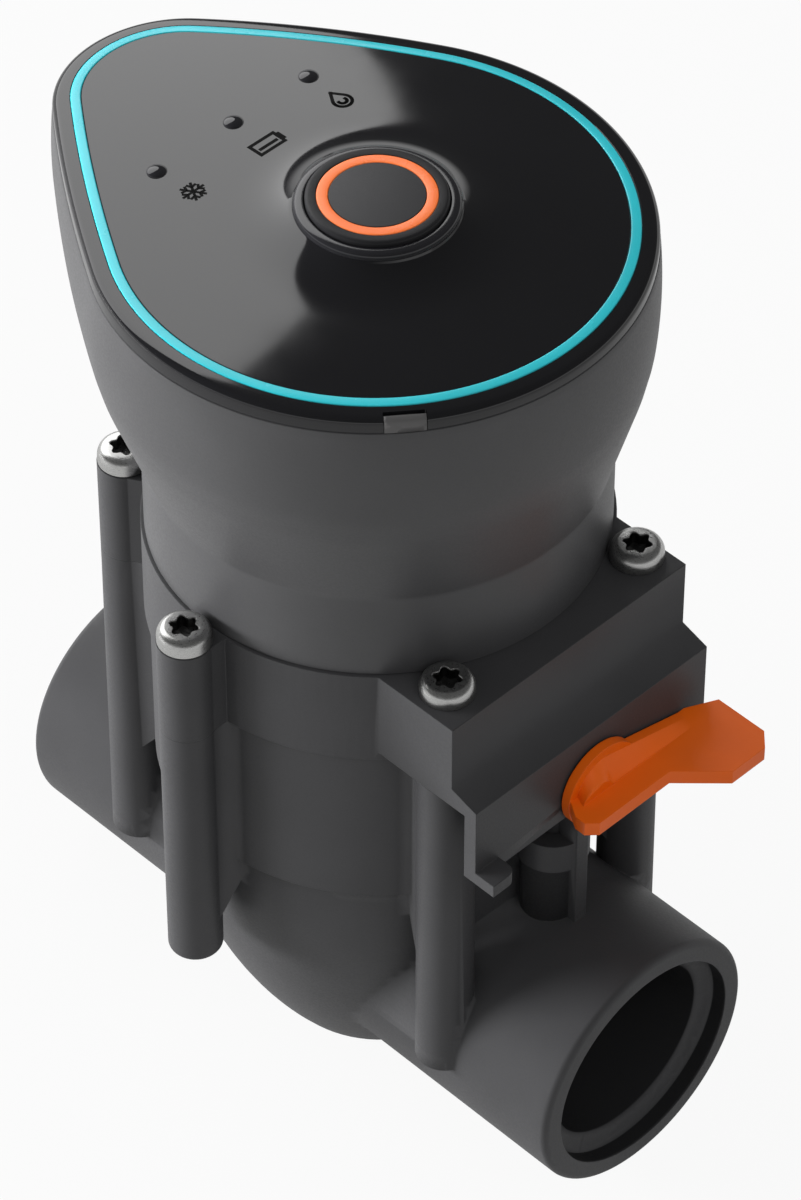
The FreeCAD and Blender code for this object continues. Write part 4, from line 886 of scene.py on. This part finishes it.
class VALVE_OT_body(bpy.types.Operator):
    """Moulded body with its ports, bowl and screw rods, and the cover on it"""
    bl_idname = "valve.body"
    bl_label = "Body and cover"

    def execute(self, context):
        nodes = ("valve_body", "outlet_socket", "inlet_socket", "bleed_post")
        seam = low("outlet_socket", X)
        bm = merged_copy(*nodes)
        between = [face for face in bm.faces
                   if all(abs(abs(vert.co.x) - seam) < FRAME_MERGE for vert in face.verts)]
        bmesh.ops.delete(bm, geom=between, context="FACES")
        for side in (-1, 1):
            add(bm, self.shoulder(side * seam))
        # Painted shade darkens the thread and the recess in each port's end
        self.paint_port_shade(bm)
        piece("body_moulding", bm, "body_black", "valve", nodes)
        piece("cover_moulding", merged_copy("bonnet"), "cover_black", "valve", ("bonnet",),
              sharp=18.0)
        return {"FINISHED"}

    def shoulder(self, x):
        """The step inside a port where the waterway is narrower than the thread."""
        s = settings()[0]
        count = 96
        into_wall = 0.4 * MM

        def circle(radius):
            def place(i):
                a = 2 * math.pi * i / count
                return Vector((x, radius * math.cos(a), s.pipe_height + radius * math.sin(a)))
            return place

        return skin([circle(s.way_radius), circle(s.thread_radius + into_wall)], count)

    def paint_port_shade(self, bm):
        """Paint shade on each port's thread and recess, but for thin strips at their ends."""
        s = settings()[0]
        thread_strip, floor_strip, mouth_strip = 0.3 * MM, 0.15 * MM, 0.4 * MM
        # How much painted shade darkens the thread and the recess
        thread_painted_shade, recess_painted_shade = 0.7, 0.8
        near_plane, near_wall = 0.05 * MM, 0.1 * MM
        end = high("outlet_socket", X)
        thread_end = end - s.lip_depth - s.lead_in - thread_strip
        recess = (end - s.lip_depth + floor_strip, end - mouth_strip)
        for x in (thread_end, *recess):
            for side in (-1, 1):
                bmesh.ops.bisect_plane(bm, geom=everything(bm), dist=MERGE, plane_co=(side * x, 0, 0),
                                       plane_no=(1, 0, 0))

        def shade_and_tone_at(point):
            radius, x = math.hypot(point.y, point.z - s.pipe_height), abs(point.x)
            if radius < s.thread_radius + near_wall and x < thread_end + near_plane:
                return thread_painted_shade
            if radius < s.lip_radius + near_wall and recess[0] - near_plane < x < recess[1] + near_plane:
                return recess_painted_shade
            return 0.0

        mark_shade_and_tone(bm, shade_and_tone_at)


class VALVE_OT_screws(bpy.types.Operator):
    """Six pan head screws with a six-lobe drive"""
    bl_idname = "valve.screws"
    bl_label = "Cover screws"

    def execute(self, context):
        s = settings()[0]
        count = 72
        top, foot, end = high("cover_screws"), COVER_TOP, low("cover_screws")
        head, flat, shank = 4.1 * MM, 2.75 * MM, 2.5 * MM
        side, edge = foot + 1.1 * MM, 0.2 * MM
        floor, drill_depth = top - 1.9 * MM, 0.3 * MM
        mouth_depth, mouth_share, floor_share = 0.15 * MM, 1.08, 0.96
        middle, wave = 0.87, 0.13
        near, drive_share = 0.05 * MM, 1.01
        first_angle, sweep, more_screws = math.radians(30), math.radians(300), 5

        def lobes(outer, height, share=1.0):
            def place(i):
                a = 2 * math.pi * i / count
                radius = outer * (middle + wave * share * math.cos(6 * a))
                return Vector((radius * math.cos(a), radius * math.sin(a), height))
            return place

        def ring(radius, height):
            return lobes(radius / middle, height, 0.0)

        # The drive recess is darkened by painted shade
        def shade_and_tone_at(point):
            in_drive = math.hypot(point.x, point.y) < s.lobe_radius * drive_share
            return 1.0 if in_drive and foot < point.z < top - near else 0.0

        rings = [ring(0.0, floor - drill_depth), lobes(s.lobe_radius * floor_share, floor),
                 lobes(s.lobe_radius, top - mouth_depth), lobes(s.lobe_radius * mouth_share, top)]
        rings += [ring(flat + (head - flat) * math.sin(a), side + (top - side) * math.cos(a))
                  for a in stations(0.0, math.pi / 2, 8)]
        rings += [ring(head, foot + edge), ring(head - edge, foot), ring(shank, foot), ring(shank, end),
                  ring(0.0, end)]
        bm = skin(rings, count)
        mark_shade_and_tone(bm, shade_and_tone_at)
        bmesh.ops.translate(bm, verts=bm.verts, vec=(s.bolt_radius, 0.0, 0.0))
        turn = Matrix.Rotation(first_angle, 3, "Z")
        bmesh.ops.rotate(bm, verts=bm.verts, cent=(0, 0, 0), matrix=turn)
        bmesh.ops.spin(bm, geom=everything(bm), cent=(0, 0, 0), axis=(0, 0, 1), dvec=(0, 0, 0),
                       angle=sweep, steps=more_screws, use_merge=False, use_duplicate=True)
        piece("lobed_screws", bm, "screw_steel", "valve", ("cover_screws",))
        return {"FINISHED"}


class VALVE_OT_lever(bpy.types.Operator):
    """Orange manual bleed lever"""
    bl_idname = "valve.lever"
    bl_label = "Bleed lever"

    def execute(self, context):
        piece("bleed_lever", merged_copy("lever"), "orange", "lever", ("lever",), sharp=20.0)
        return {"FINISHED"}


class VALVE_OT_inner_parts(bpy.types.Operator):
    """Finishes of the pieces that stay as the frame has them"""
    bl_idname = "valve.inner_parts"
    bl_label = "Inner parts"

    def execute(self, context):
        for entry in frame["record"]["subparts"]:
            obj = frame["nodes"][entry["node"]]
            for place in obj.material_slots:
                place.material = FINISH[entry["material_slot"]]
        return {"FINISHED"}


# Studio

class VALVE_OT_studio(bpy.types.Operator):
    """Pale floor, surroundings, soft lights and the camera"""
    bl_idname = "valve.studio"
    bl_label = "Studio"

    def execute(self, context):
        self.floor()
        self.sky()
        self.lights()
        self.camera()
        return {"FINISHED"}

    def floor(self):
        """Grey paper that the camera sees as nearly white, and glossy pieces as about half as bright."""
        base = settings()[1].floor
        half_size, patch, shade, roughness = 4.0, 300 * MM, 0.01, 0.9
        seen_white, mirrored_share = 0.93, 0.47
        bm = bmesh.new()
        bmesh.ops.create_grid(bm, x_segments=2, y_segments=2, size=half_size)
        mat, nodes, links, bsdf = shader("floor_paper", base, roughness)
        tint(nodes, links, noise(nodes, links, patch), bsdf, base, shade)
        white = nodes.new("ShaderNodeEmission")
        white.inputs["Color"].default_value = (1, 1, 1, 1)
        path = nodes.new("ShaderNodeLightPath").outputs
        mirrored = calculated(nodes, links, "MULTIPLY", path["Is Glossy Ray"], mirrored_share)
        seen = calculated(nodes, links, "MAXIMUM", path["Is Camera Ray"], mirrored)
        seen = calculated(nodes, links, "MAXIMUM", seen, path["Is Transmission Ray"])
        blend = nodes.new("ShaderNodeMixShader")
        links.new(calculated(nodes, links, "MULTIPLY", seen, seen_white), blend.inputs["Fac"])
        links.new(bsdf.outputs[0], blend.inputs[1])
        links.new(white.outputs[0], blend.inputs[2])
        links.new(blend.outputs[0], nodes["Material Output"].inputs["Surface"])
        obj = placed("floor", bm)
        obj.data.materials.append(mat)

    def sky(self):
        """Pale low down and dark overhead, as under a dark ceiling, but even for diffuse light."""
        pale_until, dark_from = 0.10, 0.24
        pale, ceiling, even = 1.0, 0.12, 0.46
        world = bpy.data.worlds.new("studio")
        world.use_nodes = True
        bpy.context.scene.world = world
        nodes, links = world.node_tree.nodes, world.node_tree.links
        where = nodes.new("ShaderNodeTexCoord")
        split = nodes.new("ShaderNodeSeparateXYZ")
        ramp = nodes.new("ShaderNodeValToRGB")
        stops = ((pale_until, pale), (dark_from, ceiling))
        for element, (position, level) in zip(ramp.color_ramp.elements, stops):
            element.position = position
            element.color = (level, level, level, 1.0)
        links.new(where.outputs["Generated"], split.inputs[0])
        links.new(split.outputs["Z"], ramp.inputs["Fac"])
        path = nodes.new("ShaderNodeLightPath")
        blend = nodes.new("ShaderNodeMix")
        blend.data_type = "RGBA"
        blend.inputs["B"].default_value = (even, even, even, 1.0)
        links.new(path.outputs["Is Diffuse Ray"], blend.inputs["Factor"])
        links.new(ramp.outputs["Color"], blend.inputs["A"])
        background = nodes["Background"]
        links.new(blend.outputs["Result"], background.inputs["Color"])
        background.inputs["Strength"].default_value = settings()[2].sky

    def lights(self):
        studio = settings()[2]
        self.softbox("key", studio.key, place=(-1.246, -0.071, 0.929), aim=(-0.413, -0.496, 0.026),
                     size=(2.0, 1.2))
        self.softbox("side", studio.side, place=(-0.81, -0.68, 0.22), aim=(0.0, 0.0, 0.12),
                     size=(0.7, 0.34), mirrored=False)
        self.softbox("fill", studio.fill, place=(1.0, -0.22, 1.1), aim=(0.0, 0.0, 0.08),
                     size=(0.7, 0.7), mirrored=False)

    def softbox(self, name, watts, place, aim, size, mirrored=True):
        """An oval lamp aimed at a point. One that isn't mirrored leaves no image of itself in gloss."""
        lamp = bpy.data.lights.new(name, "AREA")
        lamp.shape = "ELLIPSE"
        lamp.size, lamp.size_y = size
        lamp.energy = watts
        obj = bpy.data.objects.new(name, lamp)
        obj.visible_glossy = mirrored
        obj.location = place
        obj.rotation_euler = (Vector(aim) - Vector(place)).to_track_quat("-Z", "Y").to_euler()
        bpy.context.scene.collection.objects.link(obj)

    def camera(self):
        azimuth, elevation, distance = math.radians(45.325), math.radians(44.788), 0.8558
        target = Vector((2.27, 2.29, 80.03)) * MM
        back = Vector((math.sin(azimuth) * math.cos(elevation), -math.cos(azimuth) * math.cos(elevation),
                       math.sin(elevation)))
        data = bpy.data.cameras.new("camera")
        data.lens = 172.09
        data.sensor_width = 36.0
        data.clip_start, data.clip_end = 0.01, 50.0
        obj = bpy.data.objects.new("camera", data)
        obj.location = target + back * distance
        obj.rotation_euler = back.to_track_quat("Z", "Y").to_euler()
        bpy.context.scene.collection.objects.link(obj)
        bpy.context.scene.camera = obj
        bpy.context.scene.view_settings.view_transform = "Standard"


class VALVE_PT_panel(bpy.types.Panel):
    """Lists the valve's settings and pieces"""
    bl_label = "Water valve"
    bl_idname = "VALVE_PT_panel"
    bl_space_type = "VIEW_3D"
    bl_region_type = "UI"
    bl_category = "Valve"

    def draw(self, context):
        for group in settings():
            box = self.layout.box()
            for name in group.__annotations__:
                box.prop(group, name)
        for operator in PIECES:
            self.layout.operator(operator.bl_idname)


PIECES = (VALVE_OT_inner_parts, VALVE_OT_body, VALVE_OT_screws, VALVE_OT_lever, VALVE_OT_head_shell,
          VALVE_OT_lid, VALVE_OT_ring_inlay, VALVE_OT_button, VALVE_OT_lights, VALVE_OT_symbols,
          VALVE_OT_latch, VALVE_OT_studio)
GROUPS = {"valve_sizes": ValveSizes, "valve_colours": ValveColours, "valve_studio": ValveStudio}


def register():
    for name, group in GROUPS.items():
        bpy.utils.register_class(group)
        setattr(bpy.types.Scene, name, bpy.props.PointerProperty(type=group))
    for cls in PIECES + (VALVE_PT_panel,):
        bpy.utils.register_class(cls)


def unregister():
    for cls in reversed(PIECES + (VALVE_PT_panel,)):
        bpy.utils.unregister_class(cls)
    for name, group in GROUPS.items():
        delattr(bpy.types.Scene, name)
        bpy.utils.unregister_class(group)


def main():
    register()
    make_finishes()
    for operator in PIECES:
        group, action = operator.bl_idname.split(".")
        getattr(getattr(bpy.ops, group), action)()
    bpy.context.view_layer.update()


if __name__ == "__main__":
    main()
